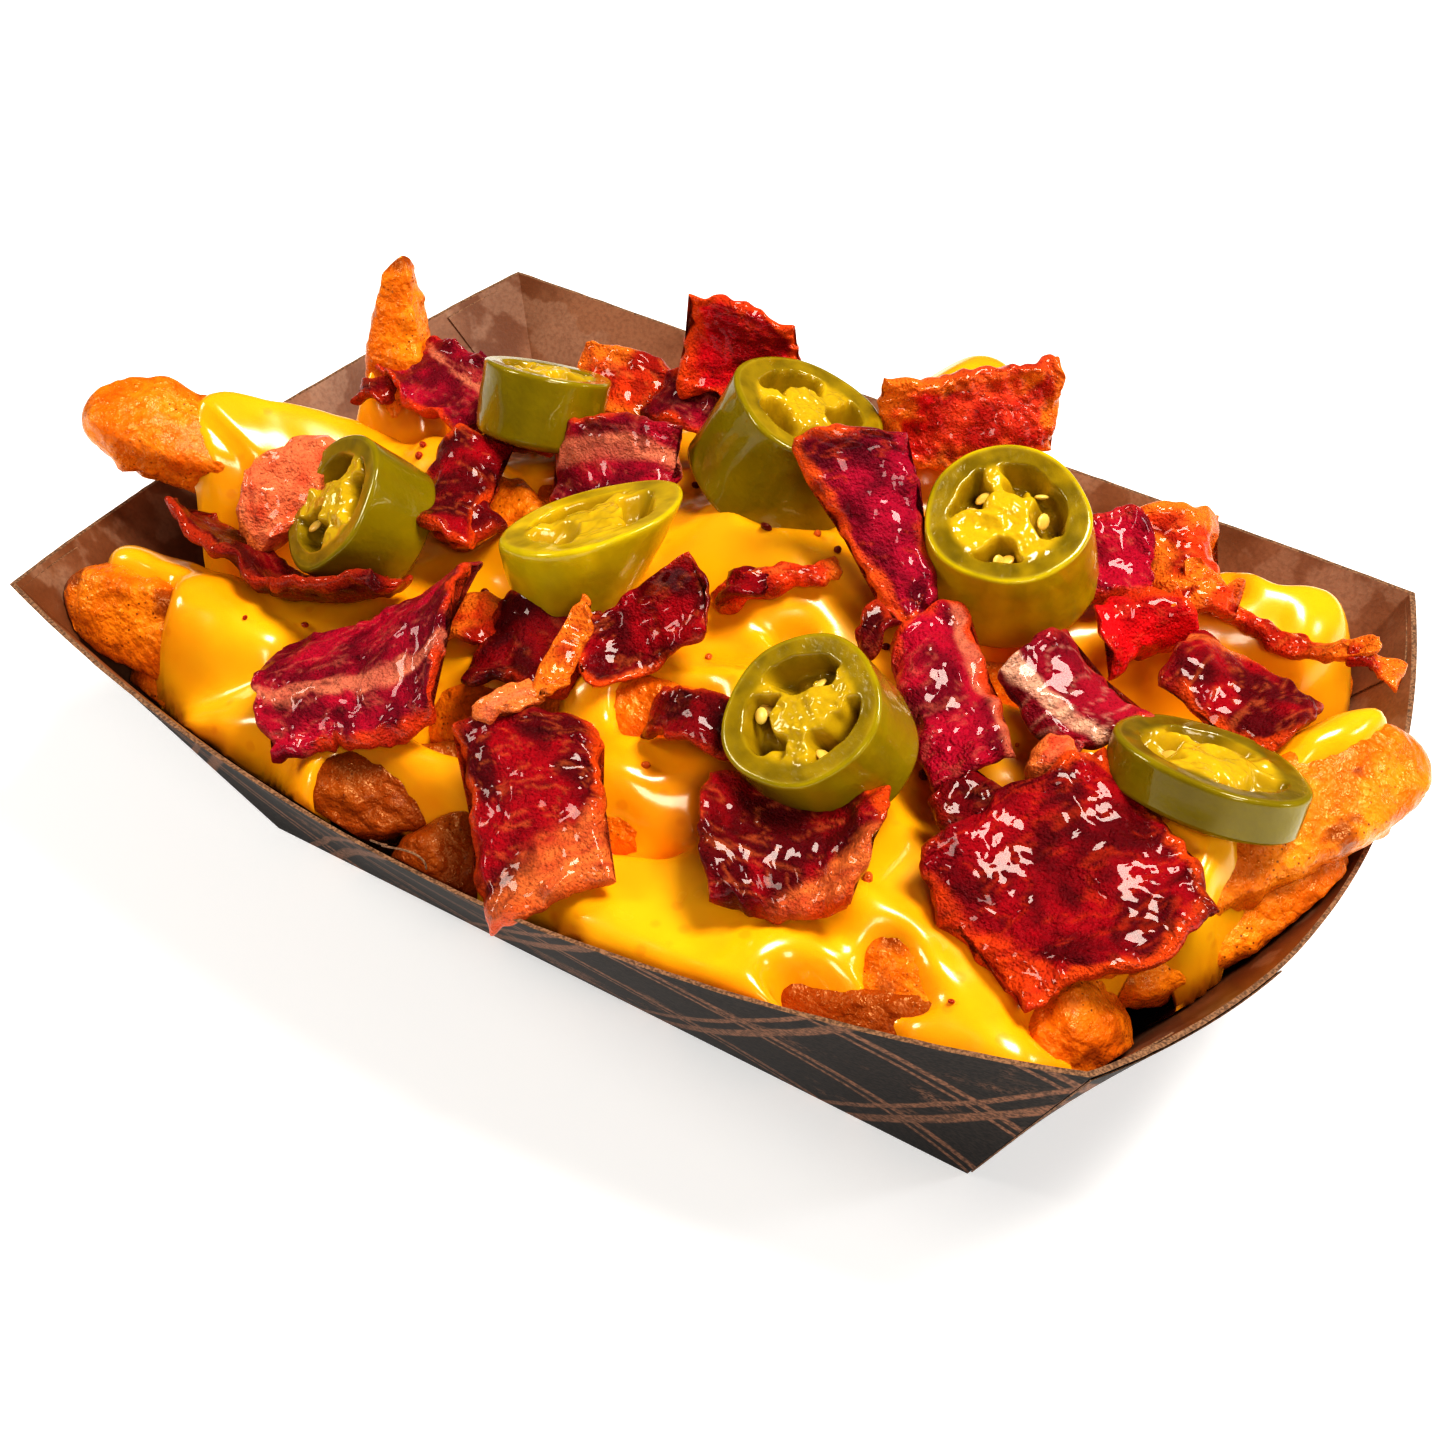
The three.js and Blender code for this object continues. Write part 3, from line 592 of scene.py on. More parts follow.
def smooth_section(corners, count):
    """Closed curve round the section's corners: straight from each to the next, then averaged
    over a short stretch, so that the cut faces stay flat and the ridges are a little round."""
    n = len(corners)
    v = np.arange(count) / count * n
    i = np.floor(v).astype(int)
    f = (v - i)[:, None]
    curve = corners[i % n] * (1 - f) + corners[(i + 1) % n] * f
    for _ in range(4):
        curve = (np.roll(curve, 1, axis=0) + 2 * curve + np.roll(curve, -1, axis=0)) / 4
    return curve


def eased(low, high, value):
    """Smooth step from 0 at low to 1 at high."""
    t = np.clip((value - low) / (high - low), 0, 1)
    return t * t * (3 - 2 * t)


def wedge_surface(root, tip, width, height, roll, seed, grid=(90, 60), point=0.0, bumps=1.0, darker=0.0):
    """Potato wedge: u runs from root to tip and v round the rounded triangular section. The
    section is scaled by sqrt(1 - |2u - 1|^5), so both ends are blunt, and by 1 - point at a
    pointed tip; its middle bends a little, and the crust stands off it by uneven bumps of
    four sizes. Its browning grows to both ends, along the ridge and in some patches."""
    rows, columns = grid
    root, tip = np.array(root, dtype=float), np.array(tip, dtype=float)
    length = np.linalg.norm(tip - root)
    way = (tip - root) / length
    turn = math.degrees(math.atan2(way[1], way[0]))
    lift = math.degrees(math.asin(way[2]))
    u = (0.5 - 0.5 * np.cos(np.pi * (np.arange(rows) + 0.6) / (rows + 0.2)))[:, None]
    section = smooth_section(WEDGE_SECTION, columns)
    thick = np.sqrt(np.clip(1 - np.abs(2 * u - 1) ** 5, 0, 1)) * (1 - point * eased(0.35, 1.0, u))
    rng = np.random.default_rng(seed)
    bend = rng.uniform(-1.6, 1.6, 2)
    slant = rng.uniform(-0.35, 0.35, 2)
    middle = 1 - (2 * u - 1) ** 2
    y = section[None, :, 0] * width * thick
    z = section[None, :, 1] * height * thick
    x = (u - 0.5) * length + (slant[0] * y + slant[1] * z) * (2 * u - 1) ** 2
    local = np.stack([x, y + bend[0] * (middle - 0.6), z + bend[1] * (middle - 0.6)], axis=-1)
    out = np.stack([0.35 * (2 * x / length) ** 3, y, z], axis=-1)
    out /= np.linalg.norm(out, axis=-1, keepdims=True) + 1e-9
    dents = uneven(local, 8.5, seed, 2)
    grains = uneven(local, 2.4, seed + 40, 2)
    blisters = np.clip(uneven(local, 3.4, seed + 80, 1) - 0.15, 0, 1)
    rough = 1.0 * dents + 0.55 * grains + 1.3 * blisters + 0.16 * uneven(local, 1.1, seed + 60, 1)
    local = local + out * (rough * bumps)[..., None]
    ends = np.array([[-length / 2, 0, 0], [length / 2, 0, 0]])
    ends[:, 1:] -= 0.6 * bend
    points = np.concatenate([local.reshape(-1, 3), ends])
    points = points @ turned_by(turn, lift, roll).T + (root + tip) / 2
    ridge = eased(0.34, 0.44, np.hypot(section[:, 0], section[:, 1] * 0.9))[None, :]
    # The browning carries painted shade too: lighter on the blister tops and darker in the dents between the
    # grains.
    browning_and_shade = 0.5 * eased(0.93, 1.0, u) + 0.35 * eased(0.07, 0.0, u) + 0.30 * ridge * middle
    browning_and_shade = browning_and_shade + 0.8 * eased(0.25, 0.7, uneven(local, 5.0, seed + 90, 3)) - 0.5 * blisters
    # The darker share added at the end is painted shade over the whole crust of a wedge low at the front.
    browning_and_shade = browning_and_shade + 0.35 * eased(0.1, -0.6, grains) + 0.9 * point * eased(0.86, 0.97, u) + darker
    browning_and_shade = np.clip(browning_and_shade, 0, 1)
    browning_and_shade = np.concatenate([browning_and_shade.ravel(), browning_and_shade[0, :1], browning_and_shade[-1, :1]])
    return points, ringed(rows, columns), np.repeat(browning_and_shade[:, None], 3, axis=1)


def joined(pieces):
    """Points and faces of several surfaces as one, with their tints where they have them."""
    points, faces, tints, start = [], [], [], 0
    for piece_points, piece_faces, *tint in pieces:
        points.append(piece_points)
        faces += [f + start for f in piece_faces]
        tints += tint
        start += len(piece_points)
    return np.concatenate(points), faces, np.concatenate(tints) if tints else None


# Wedges under the shown ones: four rows of five, each turned its own way and tipped down
# towards the tray's ends.
BURIED_HALF = 25
BURIED_SPACING = 27
BURIED_DEPTH = 11.2
buried = []
for row, y in enumerate((-34, -8, 16, 38)):
    for column in (-2, -1, 0, 1, 2):
        x = BURIED_SPACING * column + (9 if row % 2 else -5)
        turn = math.radians(38 * math.sin(2.1 * column + 1.7 * row) + 12)
        tip = math.radians(-0.16 * x)
        middle = np.array([x, y, float(mound(x, y)) - BURIED_DEPTH])
        way = np.array([math.cos(turn) * math.cos(tip), math.sin(turn) * math.cos(tip), math.sin(tip)])
        buried.append((middle - BURIED_HALF * way, middle + BURIED_HALF * way, 22, 18, 0))

# Fried crust: golden orange, deeper on ridges and edges, dotted with dark seasoning.
crust, tree, shader = finish(
    "fried_crust", Roughness=0.3, Specular_IOR_Level=0.6, Specular_Tint=(1.0, 0.72, 0.38, 1),
    Subsurface_Weight=0.12, Subsurface_Scale=0.002, Coat_Weight=0.06, Coat_Roughness=0.08,
)
shader.inputs["Subsurface Radius"].default_value = (1.0, 0.45, 0.12)
patches, grain, specks = mottled(tree, 110, 820, 1250)
colour = blend_colours(tree, ramp(tree, patches, 0.36, 0.64), (0.72, 0.165, 0.004), (0.96, 0.295, 0.010))
colour = blend_colours(tree, ramp(tree, grain, 0.46, 0.68, 0, 0.35), colour, (0.50, 0.095, 0.003))
# The tint holds the browning together with its painted shade, which darkens the crust here.
colour = blend_colours(tree, ramp(tree, tinted(tree), 0.25, 1.0, 0, 0.85), colour, (0.26, 0.045, 0.003))
seasoned = maths(tree, "MULTIPLY", specks, ramp(tree, patches, 0.42, 0.6, 0.3, 0.9))
colour = blend_colours(tree, seasoned, colour, (0.14, 0.02, 0.006))
tree.links.new(colour, shader.inputs["Base Color"])
tree.links.new(ramp(tree, grain, 0.3, 0.7, 0.42, 0.2), shader.inputs["Roughness"])
ripples, fine, _ = mottled(tree, 300, 1700, 900)
creases = maths(tree, "ABSOLUTE", maths(tree, "SUBTRACT", ripples, 0.5))
coarse = maths(tree, "MULTIPLY_ADD", creases, 3.2, maths(tree, "MULTIPLY_ADD", fine, 0.2, grain))
raised(tree, shader, coarse, 0.55, 0.0008)

wedge_shapes = []
for i, wedge in enumerate(SHOWN_WEDGES):
    point = STANDING_POINT if i == STANDING else 0.0
    # Wedges low at the front get painted shade: their crust is browned darker all over.
    points, faces, tint = wedge_surface(*wedge, seed=10 + i, point=point, darker=float(i in ROWS_IN_PAINTED_SHADE))
    wedge_shapes.append((kept_inside(points), faces, tint))
under_shapes = [wedge_surface(*wedge, seed=60 + i, grid=(40, 28)) for i, wedge in enumerate(buried)]

# Inside of the heap, only glimpsed in the gaps: a bumpy filling sunk under the wedges, laid
# as rings from a foot that is drawn in a little, up over the edge and to the middle.
CORE_HALF_LENGTH, CORE_HALF_WIDTH = 76, 52
CORE_FOOT, CORE_FOOT_SHARE = 12.0, 0.93
CORE_DEPTH = 20
spokes = 96
turns = np.arange(spokes) / spokes * 2 * np.pi
edge_x, edge_y = np.cos(turns), np.sin(turns)
core_reach = 1 / np.maximum(np.abs(edge_x) / CORE_HALF_LENGTH, np.abs(edge_y) / CORE_HALF_WIDTH)
edge_x, edge_y = core_reach * edge_x, core_reach * edge_y
foot_x, foot_y = CORE_FOOT_SHARE * edge_x, CORE_FOOT_SHARE * edge_y
core_rings = [np.stack([foot_x, foot_y, np.full(spokes, CORE_FOOT)], axis=-1)]
for share, rise in ((0.98, 0.55), (0.94, 0.8), (0.8, 1), (0.6, 1), (0.4, 1), (0.2, 1)):
    x, y = share * edge_x, share * edge_y
    lumps = 2 * uneven(np.stack([x, y, x * 0], axis=-1), 12.0, 5, 2)
    core_rings.append(np.stack([x, y, (mound(x, y) - CORE_DEPTH + lumps) * rise], axis=-1))
core_poles = [[[0, 0, CORE_FOOT]], [[0, 0, float(mound(0, 0)) - CORE_DEPTH]]]
core_points = np.concatenate(core_rings + core_poles)
core_shape = (core_points, ringed(len(core_rings), spokes), np.full((len(core_points), 3), 0.5))
heap_parts = {"wedges_shown": wedge_shapes, "wedges_under": under_shapes, "heap_core": [core_shape]}
for name, shapes in heap_parts.items():
    points, faces, tint = joined(shapes)
    heap_piece = lay(name, kept_inside(points), faces, [crust], colours=tint)
    if name == "wedges_shown":
        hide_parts("fries_heap")

# ------------------------------------------------------------------ bacon
# Torn pieces of thick glazed bacon: dark crimson lean under a burnt sugar gloss, a band of
# paler fat along one side of some, and edges that fried rough and orange red.
LEAN, RED, PURPLE, FAT, CRISP, DARK = "lean", "red", "purple", "fat", "crisp", "dark"
CRUST, PALE, SKIRT = "crust with a red end", "lean with white fat", "lean with a fried side"
SCARLET, PLUM = "bright lean with a fried side", "purple lean with a fried side"
# name: middle, (length, width, thickness), (turn, tip, roll), (bow, curl), tone,
#       outline corners or None, fat band (along the length, along the width, place, half width)
BACON = {
    "bacon_back_left": ((-65, 9, 62), (30, 16, 2), (-10, 0, 14), (2, 2), PURPLE,
                        ((-1, -0.6), (0.9, -1), (1, 0.9), (-0.8, 1)), (0.3, 1, 0.35, 0.10)),
    "bacon_fat_lump": ((-68, -26, 58.5), (20, 13, 8), (75, 35, 20), (1, 1), FAT, None, None),
    "bacon_ribbon_left": ((-60, -36, 53), (45, 12, 1.8), (0, 2, -35), (-6, 1), DARK,
                          ((-1, -1.2), (1, -1), (1, 0.8), (-1, 0.9)), None),
    "bacon_folded": ((-30, -51, 53), (36, 28.5, 2.4), (40, 20, 12), (-2, -4), PURPLE,
                     ((-1, -0.8), (0.55, -0.75), (1.15, 1), (-0.8, 0.9)), (-0.15, -1, 0.25, 0.13)),
    "bacon_wing": ((4, -30, 62), (21, 13, 2), (45, 25, 38), (-3, 2), LEAN,
                   ((-1, -1), (0.9, -0.8), (1.15, 1), (-1, 0.7)), (0, 1, -1.1, 0.2)),
    "bacon_dark_middle": ((-12, -36, 57), (18, 17, 2), (15, 8, 18), (2, 1), DARK, None, None),
    "bacon_tall_front": ((6, -60, 50), (22, 34, 2.4), (36, 15, 24), (2, -2), LEAN,
                         ((-0.75, -1), (1, -0.75), (0.95, 0.8), (-0.9, 1)), (0.35, -1, 0.95, 0.42)),
    "bacon_trough": ((41, -48.5, 53.4), (28, 20, 2.4), (21, 8, 25), (-4, -2), LEAN,
                     ((-0.7, -1), (0.75, -0.9), (1, 0.9), (-1, 1)), (0.8, -1, 0.95, 0.42)),
    "bacon_dark_strip": ((20, -39, 58), (19, 9, 2), (0, 5, 30), (2, 1), DARK, None, None),
    "bacon_leaning": ((25, -1, 71), (15, 32, 2.4), (36, 15, 45), (2, 2), PLUM,
                      ((0.0, -1), (0.85, -0.9), (1.15, 0.8), (-1.2, 1)), (1, 0.25, -0.80, 0.22)),
    "bacon_standing_back": ((-15, 23.5, 79), (21, 19, 2.4), (24, 8, 78), (2, 2), SCARLET,
                            ((-1, -1), (1, -1), (1.05, 0.25), (-0.75, 1)), (1, 0.1, -0.95, 0.35)),
    "bacon_slab_back": ((22, 36, 71), (31, 18, 3), (48, -3, 78), (2, 1), CRUST,
                        ((-1, -0.8), (1, -1), (1, 0.95), (-1, 0.7)), (1, 0, -0.95, 0.40)),
    "bacon_crisp_back": ((-35, 22, 64), (20, 13, 2.2), (5, -5, 40), (2, 1), CRISP, None, None),
    "bacon_pale_middle": ((-22, 0, 65), (22, 14, 2.4), (10, 18, 40), (3, 2), PURPLE,
                          None, (0, 1, 0.2, 0.3)),
    "bacon_bright_right": ((53, 25, 61), (14, 14, 2.4), (45, 0, 28), (2, 1), PURPLE, None, None),
    "bacon_rough_right": ((60, 32, 60), (15, 15, 3.5), (47, -12, 27), (3, 2), CRISP, None, None),
    "bacon_red_cup": ((62, 15, 58), (15, 10, 2.2), (57, -5, 55), (-3, -2), RED, None, None),
    "bacon_twisted_strip": ((77, 28.5, 57.5), (33, 3.8, 1.8), (0, -6, 12), (-6.5, 0), CRISP,
                            None, None),
    "bacon_crinkled_right": ((80, 9, 57), (15, 21, 2.4), (79, 3, 6), (2, 2), LEAN,
                             None, (1, 1, 0.9, 0.2)),
    "bacon_curled_right": ((62, -6.8, 59), (15, 17, 2.4), (72, 4, 20), (3, 3), PALE,
                           None, (1, 0.25, -0.50, 0.17)),
    "bacon_purple_middle": ((47, -16, 59), (13, 27, 2.4), (47, 8, 16), (2, 1), PURPLE,
                            None, (1, 0.2, 0.85, 0.25)),
    "bacon_square_front": ((74, -34, 52), (32, 29, 2.8), (59, 12, 17), (2, 2), SKIRT,
                           ((-1.0, -1.0), (1.02, -1.04), (1.08, 1.0), (-1.0, 1.04)), (1, 0.3, -1.0, 0.30)),
    "bacon_thin_crisp": ((15, -9, 62), (20, 4.5, 1.8), (41, 13, 22), (2, 0), CRISP, None, None),
    "bacon_crisp_left": ((-44, -13, 60), (12, 23, 2.2), (23, 8, 15), (3, 2), LEAN, None, None),
}
DARK_LEAN = ((0.40, 0.002, 0.013), (0.13, 0.001, 0.006))
FRIED = (0.80, 0.10, 0.008)
CHARRED = (0.05, 0.003, 0.004)
# tone: lean, its darkest parts, fried edge, fat or fried side, and how far in the edge is fried
TONES = {
    LEAN: (*DARK_LEAN, FRIED, (0.82, 0.21, 0.055), 1.8),
    CRUST: ((0.84, 0.085, 0.028), (0.46, 0.016, 0.010), (0.97, 0.25, 0.020), (0.72, 0.004, 0.014), 5.0),
    SKIRT: (*DARK_LEAN, FRIED, (0.74, 0.075, 0.008), 2.4),
    RED: ((0.92, 0.008, 0.016), (0.50, 0.003, 0.008), (0.86, 0.10, 0.008), (0.72, 0.12, 0.05), 2.0),
    SCARLET: ((0.78, 0.004, 0.018), (0.40, 0.002, 0.010), (0.86, 0.10, 0.008), (0.86, 0.085, 0.008), 2.0),
    PLUM: ((0.44, 0.006, 0.045), (0.16, 0.002, 0.018), (0.82, 0.12, 0.010), (0.88, 0.13, 0.016), 2.2),
    PURPLE: ((0.50, 0.006, 0.042), (0.20, 0.002, 0.018), (0.78, 0.08, 0.012), (0.72, 0.22, 0.13), 1.7),
    PALE: ((0.46, 0.010, 0.040), (0.22, 0.003, 0.018), (0.76, 0.08, 0.012), (0.88, 0.52, 0.36), 1.7),
    FAT: ((0.90, 0.23, 0.10), (0.78, 0.10, 0.04), (0.92, 0.26, 0.06), (0.94, 0.38, 0.18), 2.0),
    CRISP: ((0.84, 0.075, 0.010), (0.38, 0.014, 0.005), (0.97, 0.25, 0.020), (0.94, 0.30, 0.07), 5.0),
    DARK: ((0.24, 0.002, 0.008), (0.09, 0.001, 0.004), (0.50, 0.045, 0.008), (0.46, 0.12, 0.04), 1.6),
}
LUMP = 5  # from this thickness on a piece is a rounded lump, and below it a sheet
SHEET_ROUNDNESS, LUMP_ROUNDNESS = 0.15, 0.6  # how far the outline's sides bow
BACON_MESH = 0.34  # spacing of the points, where the number of rows isn't at a limit


def over(colours, share, colour):
    """Colours with another laid over them by a share."""
    share = share[..., None]
    return colours * (1 - share) + np.asarray(colour) * share


def bacon_surface(size, bends, tone, corners, fat_band, seed):
    """Closed torn sheet: u runs along it and v round its flat section, out over the top and
    back underneath. The middle surface is bow (0.5 - u^2) + curl (v^2 - 0.5) plus uneven
    folds, wrinkles and an edge that flutters; the half thickness is a quarter circle at the
    edges; the outline is a square stretched to four corners, warped and torn. The tints
    follow the same u and v: lean, fat in its band, fried edges and charred spots."""
    length, width, thickness = size
    bow, curl = bends
    rows = int(np.clip(length / BACON_MESH, 44, 100))
    half_columns = int(np.clip(width / BACON_MESH, 36, 96))
    u = np.sin(0.4925 * np.pi * np.linspace(-1, 1, rows)) / math.sin(0.4925 * np.pi)
    v_top = np.sin(0.5 * np.pi * np.linspace(-1, 1, half_columns))
    v = np.concatenate([v_top, v_top[::-1][1:-1]])
    side = np.concatenate([np.ones(half_columns), -np.ones(half_columns - 2)])
    U, V = np.meshgrid(u, v, indexing="ij")
    side = np.broadcast_to(side[None, :], U.shape)
    edge_u = (1 - np.abs(U)) * length / 2
    edge_v = (1 - np.abs(V)) * width / 2
    edge = np.minimum(edge_u, edge_v)
    if corners is None:
        rng = np.random.default_rng(seed)
        corners = np.array([(-1, -1), (1, -1), (1, 1), (-1, 1)]) * rng.uniform(0.85, 1.2, (4, 2))
    c = np.array(corners, dtype=float)
    a, b = (U[..., None] + 1) / 2, (V[..., None] + 1) / 2
    roundness = SHEET_ROUNDNESS if thickness < LUMP else LUMP_ROUNDNESS
    narrow_a = np.sqrt(1 - roundness * (2 * b - 1) ** 2)
    narrow_b = np.sqrt(1 - roundness * (2 * a - 1) ** 2)
    a, b = 0.5 + (a - 0.5) * narrow_a, 0.5 + (b - 0.5) * narrow_b
    flat = (c[0] * (1 - a) + c[1] * a) * (1 - b) + (c[3] * (1 - a) + c[2] * a) * b
    x, y = flat[..., 0] * length / 2, flat[..., 1] * width / 2
    spot = np.stack([U * length / 2, V * width / 2, np.full(U.shape, 7.0 * seed)], axis=-1)
    sway = min(length, width) * 0.09
    x = x + sway * uneven(spot, 11.0, seed + 41, 2)
    y = y + sway * uneven(spot, 11.0, seed + 43, 2)
    torn = 1.1 * uneven(spot, 4.2, seed, 2) + 0.4 * uneven(spot, 1.5, seed + 3, 1)
    x = x + np.sign(U) * torn * eased(3.6, 0.0, edge_u)
    y = y + np.sign(V) * torn * eased(3.6, 0.0, edge_v)
    wrinkle = 1 - 2 * np.abs(uneven(spot, 3.8, seed + 11, 2))
    folds = 1.5 * uneven(spot, 9.0, seed + 5, 1) + 0.36 * wrinkle
    flutter = 2.0 * uneven(spot, 4.4, seed + 13, 2) * eased(4.5, 0.0, edge)
    middle = bow * (0.5 - U**2) + curl * (V**2 - 0.5) + folds + flutter
    rounded = 0.75 * thickness if thickness < LUMP else 0.5 * min(length, width)
    round_edge = np.sqrt(np.clip(1 - (1 - np.clip(edge / rounded, 0, 1)) ** 2, 0, 1))
    crumbly = 0.55 * np.abs(uneven(spot, 1.9, seed + 15, 2)) * eased(4.2, 1.0, edge)
    body = (thickness * (0.56 + 0.24 * uneven(spot, 5.0, seed + 17, 2)) + crumbly) * round_edge
    under = spot + side[..., None] * 50
    blisters = 0.26 * np.clip(uneven(under, 1.3, seed + 19, 1), 0, 1)
    blisters = blisters + 0.10 * uneven(under, 0.7, seed + 21, 1)
    blisters = blisters * (2.4 if tone in (CRISP, CRUST) else 1.0)
    z = middle + side * (body + blisters * round_edge)
    points = np.stack([x, y, z], axis=-1)
    poles = points[[0, -1]].mean(axis=1)

    lean_colour, deep_colour, edge_colour, fat_colour, fried_reach = TONES[tone]
    tint = np.ones(U.shape + (1,)) * np.array(lean_colour)
    tint = over(tint, eased(-0.30, 0.30, uneven(spot, 5.0, seed + 23, 3)), deep_colour)
    marble = 1 - np.abs(uneven(spot * (0.5, 1.4, 1), 3.2, seed + 29, 3)) * 2
    tint = over(tint, eased(0.86, 0.98, marble) * 0.32, fat_colour)
    if fat_band is not None:
        along, across, place, half = fat_band
        off = np.abs((U * along + V * across) / math.hypot(along, across) - place)
        off = off + 0.22 * uneven(spot, 4.0, seed + 47, 3)
        streaks = 0.8 + 0.5 * uneven(spot * (0.4, 1.5, 1), 1.6, seed + 49, 2)
        tint = over(tint, eased(half * 1.25, half * 0.55, off) * streaks, fat_colour)
    ragged_edge = edge + 0.75 * fried_reach * uneven(spot, 2.6, seed + 31, 2)
    fried = eased(fried_reach, 0.25 * fried_reach, ragged_edge)
    fried = fried * eased(-0.35, 0.15, uneven(spot, 10.0, seed + 33, 1) + 0.08 * (fried_reach - 2))
    tint = over(tint, 0.9 * fried, edge_colour)
    tint = over(tint, 0.5 * eased(0.34, 0.60, uneven(spot, 2.2, seed + 37, 3)), CHARRED)
    pole_tints = tint[[0, -1]].mean(axis=1)
    points = np.concatenate([points.reshape(-1, 3), poles])
    tint = np.concatenate([tint.reshape(-1, 3), pole_tints])
    return points, ringed(rows, U.shape[1], flipped=True), tint


# Glazed bacon: its colour comes with the sheet; wet sugar gloss with tiny blisters.
glazed, tree, shader = finish(
    "glazed_bacon", Roughness=0.4, Specular_IOR_Level=0.12, Subsurface_Weight=0.1, Subsurface_Scale=0.0015,
    Coat_Weight=0.45, Coat_Roughness=0.02
)
shader.inputs["Subsurface Radius"].default_value = (1.0, 0.25, 0.15)
patches, grain, specks = mottled(tree, 560, 2300, 1700)
colour = blend_colours(tree, ramp(tree, grain, 0.52, 0.74, 0, 0.35), tinted(tree), (0.10, 0.004, 0.006))
tree.links.new(colour, shader.inputs["Base Color"])
tree.links.new(ramp(tree, patches, 0.3, 0.7, 0.28, 0.5), shader.inputs["Roughness"])
blistered = maths(tree, "MULTIPLY_ADD", specks, 0.5, grain)
raised(tree, shader, maths(tree, "MULTIPLY_ADD", patches, 1.5, blistered), 0.9, 0.0008)

BACON_SUNK, PEPPER_SUNK = 0.6, 2.6  # how far a topping sits in the sauce
toppings = []
for seed, (name, (at, size, turns, bends, tone, corners, fat_band)) in enumerate(BACON.items()):
    points, faces, tint = bacon_surface(size, bends, tone, corners, fat_band, seed + 3)
    points = points @ turned_by(*turns).T + np.array(at)
    toppings.append((points, BACON_SUNK))
    strip = lay(name + "_glazed", points, faces, [glazed], colours=tint)
    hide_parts(name)

# ------------------------------------------------------------------ pepper slices
# Pickled green peppers cut across: a glossy skin, a thick ring of flesh, open seed
# chambers round a pale heart, and a few flat seeds.
# name: middle of the cut face, (face radius, foot radius, height), lean, heading,
#       (how much longer a slanting cut is, turn about the axis, how far the foot is set back),
#       and how bright its skin and its flesh are
STRAIGHT = (1, 0, 0)
PEPPERS = {
    "pepper_back_left": ((-41, 9, 72), (10.5, 10, 12), 25, 96, STRAIGHT, (0.95, 0.9)),
    "pepper_back": ((4, 16, 76), (12.5, 14, 17), 22, 20, STRAIGHT, (0.9, 0.9)),
    "pepper_left": ((-56, -29, 62), (11.5, 11, 13), 49, -123, STRAIGHT, (0.9, 0.8)),
    "pepper_pale": ((-11.2, -20.3, 70.6), (11.3, 7.5, 13), 17, 176, (1.24, 43, 0.42), (2.3, 1.6)),
    "pepper_tall": ((41.5, 9, 74), (12, 14, 16), 24, -69, STRAIGHT, (1.9, 0.8)),
    "pepper_front": ((35.6, -38.1, 66.6), (11.4, 12, 14), 34, -105, STRAIGHT, (1.2, 0.9)),
    "pepper_flat_right": ((83, -9, 60), (11, 11, 7), 18, 83, (1.25, 0, 0), (0.85, 0.65)),
}
CHAMBERS = ((15, 120), (140, 235), (255, 350))
CHAMBER_WALL, HEART = 0.70, 0.34
SKIN, FLESH = np.array((0.28, 0.215, 0.002)), np.array((0.33, 0.225, 0.005))
# The second colour below is painted shade for the depths of the seed chambers.
PULP, PAINTED_CHAMBER_SHADE = np.array((0.64, 0.42, 0.013)), np.array((0.15, 0.10, 0.001))
# A painted highlight along the lip of each cut face.
RIM_HIGHLIGHT = np.array((0.75, 0.62, 0.10))


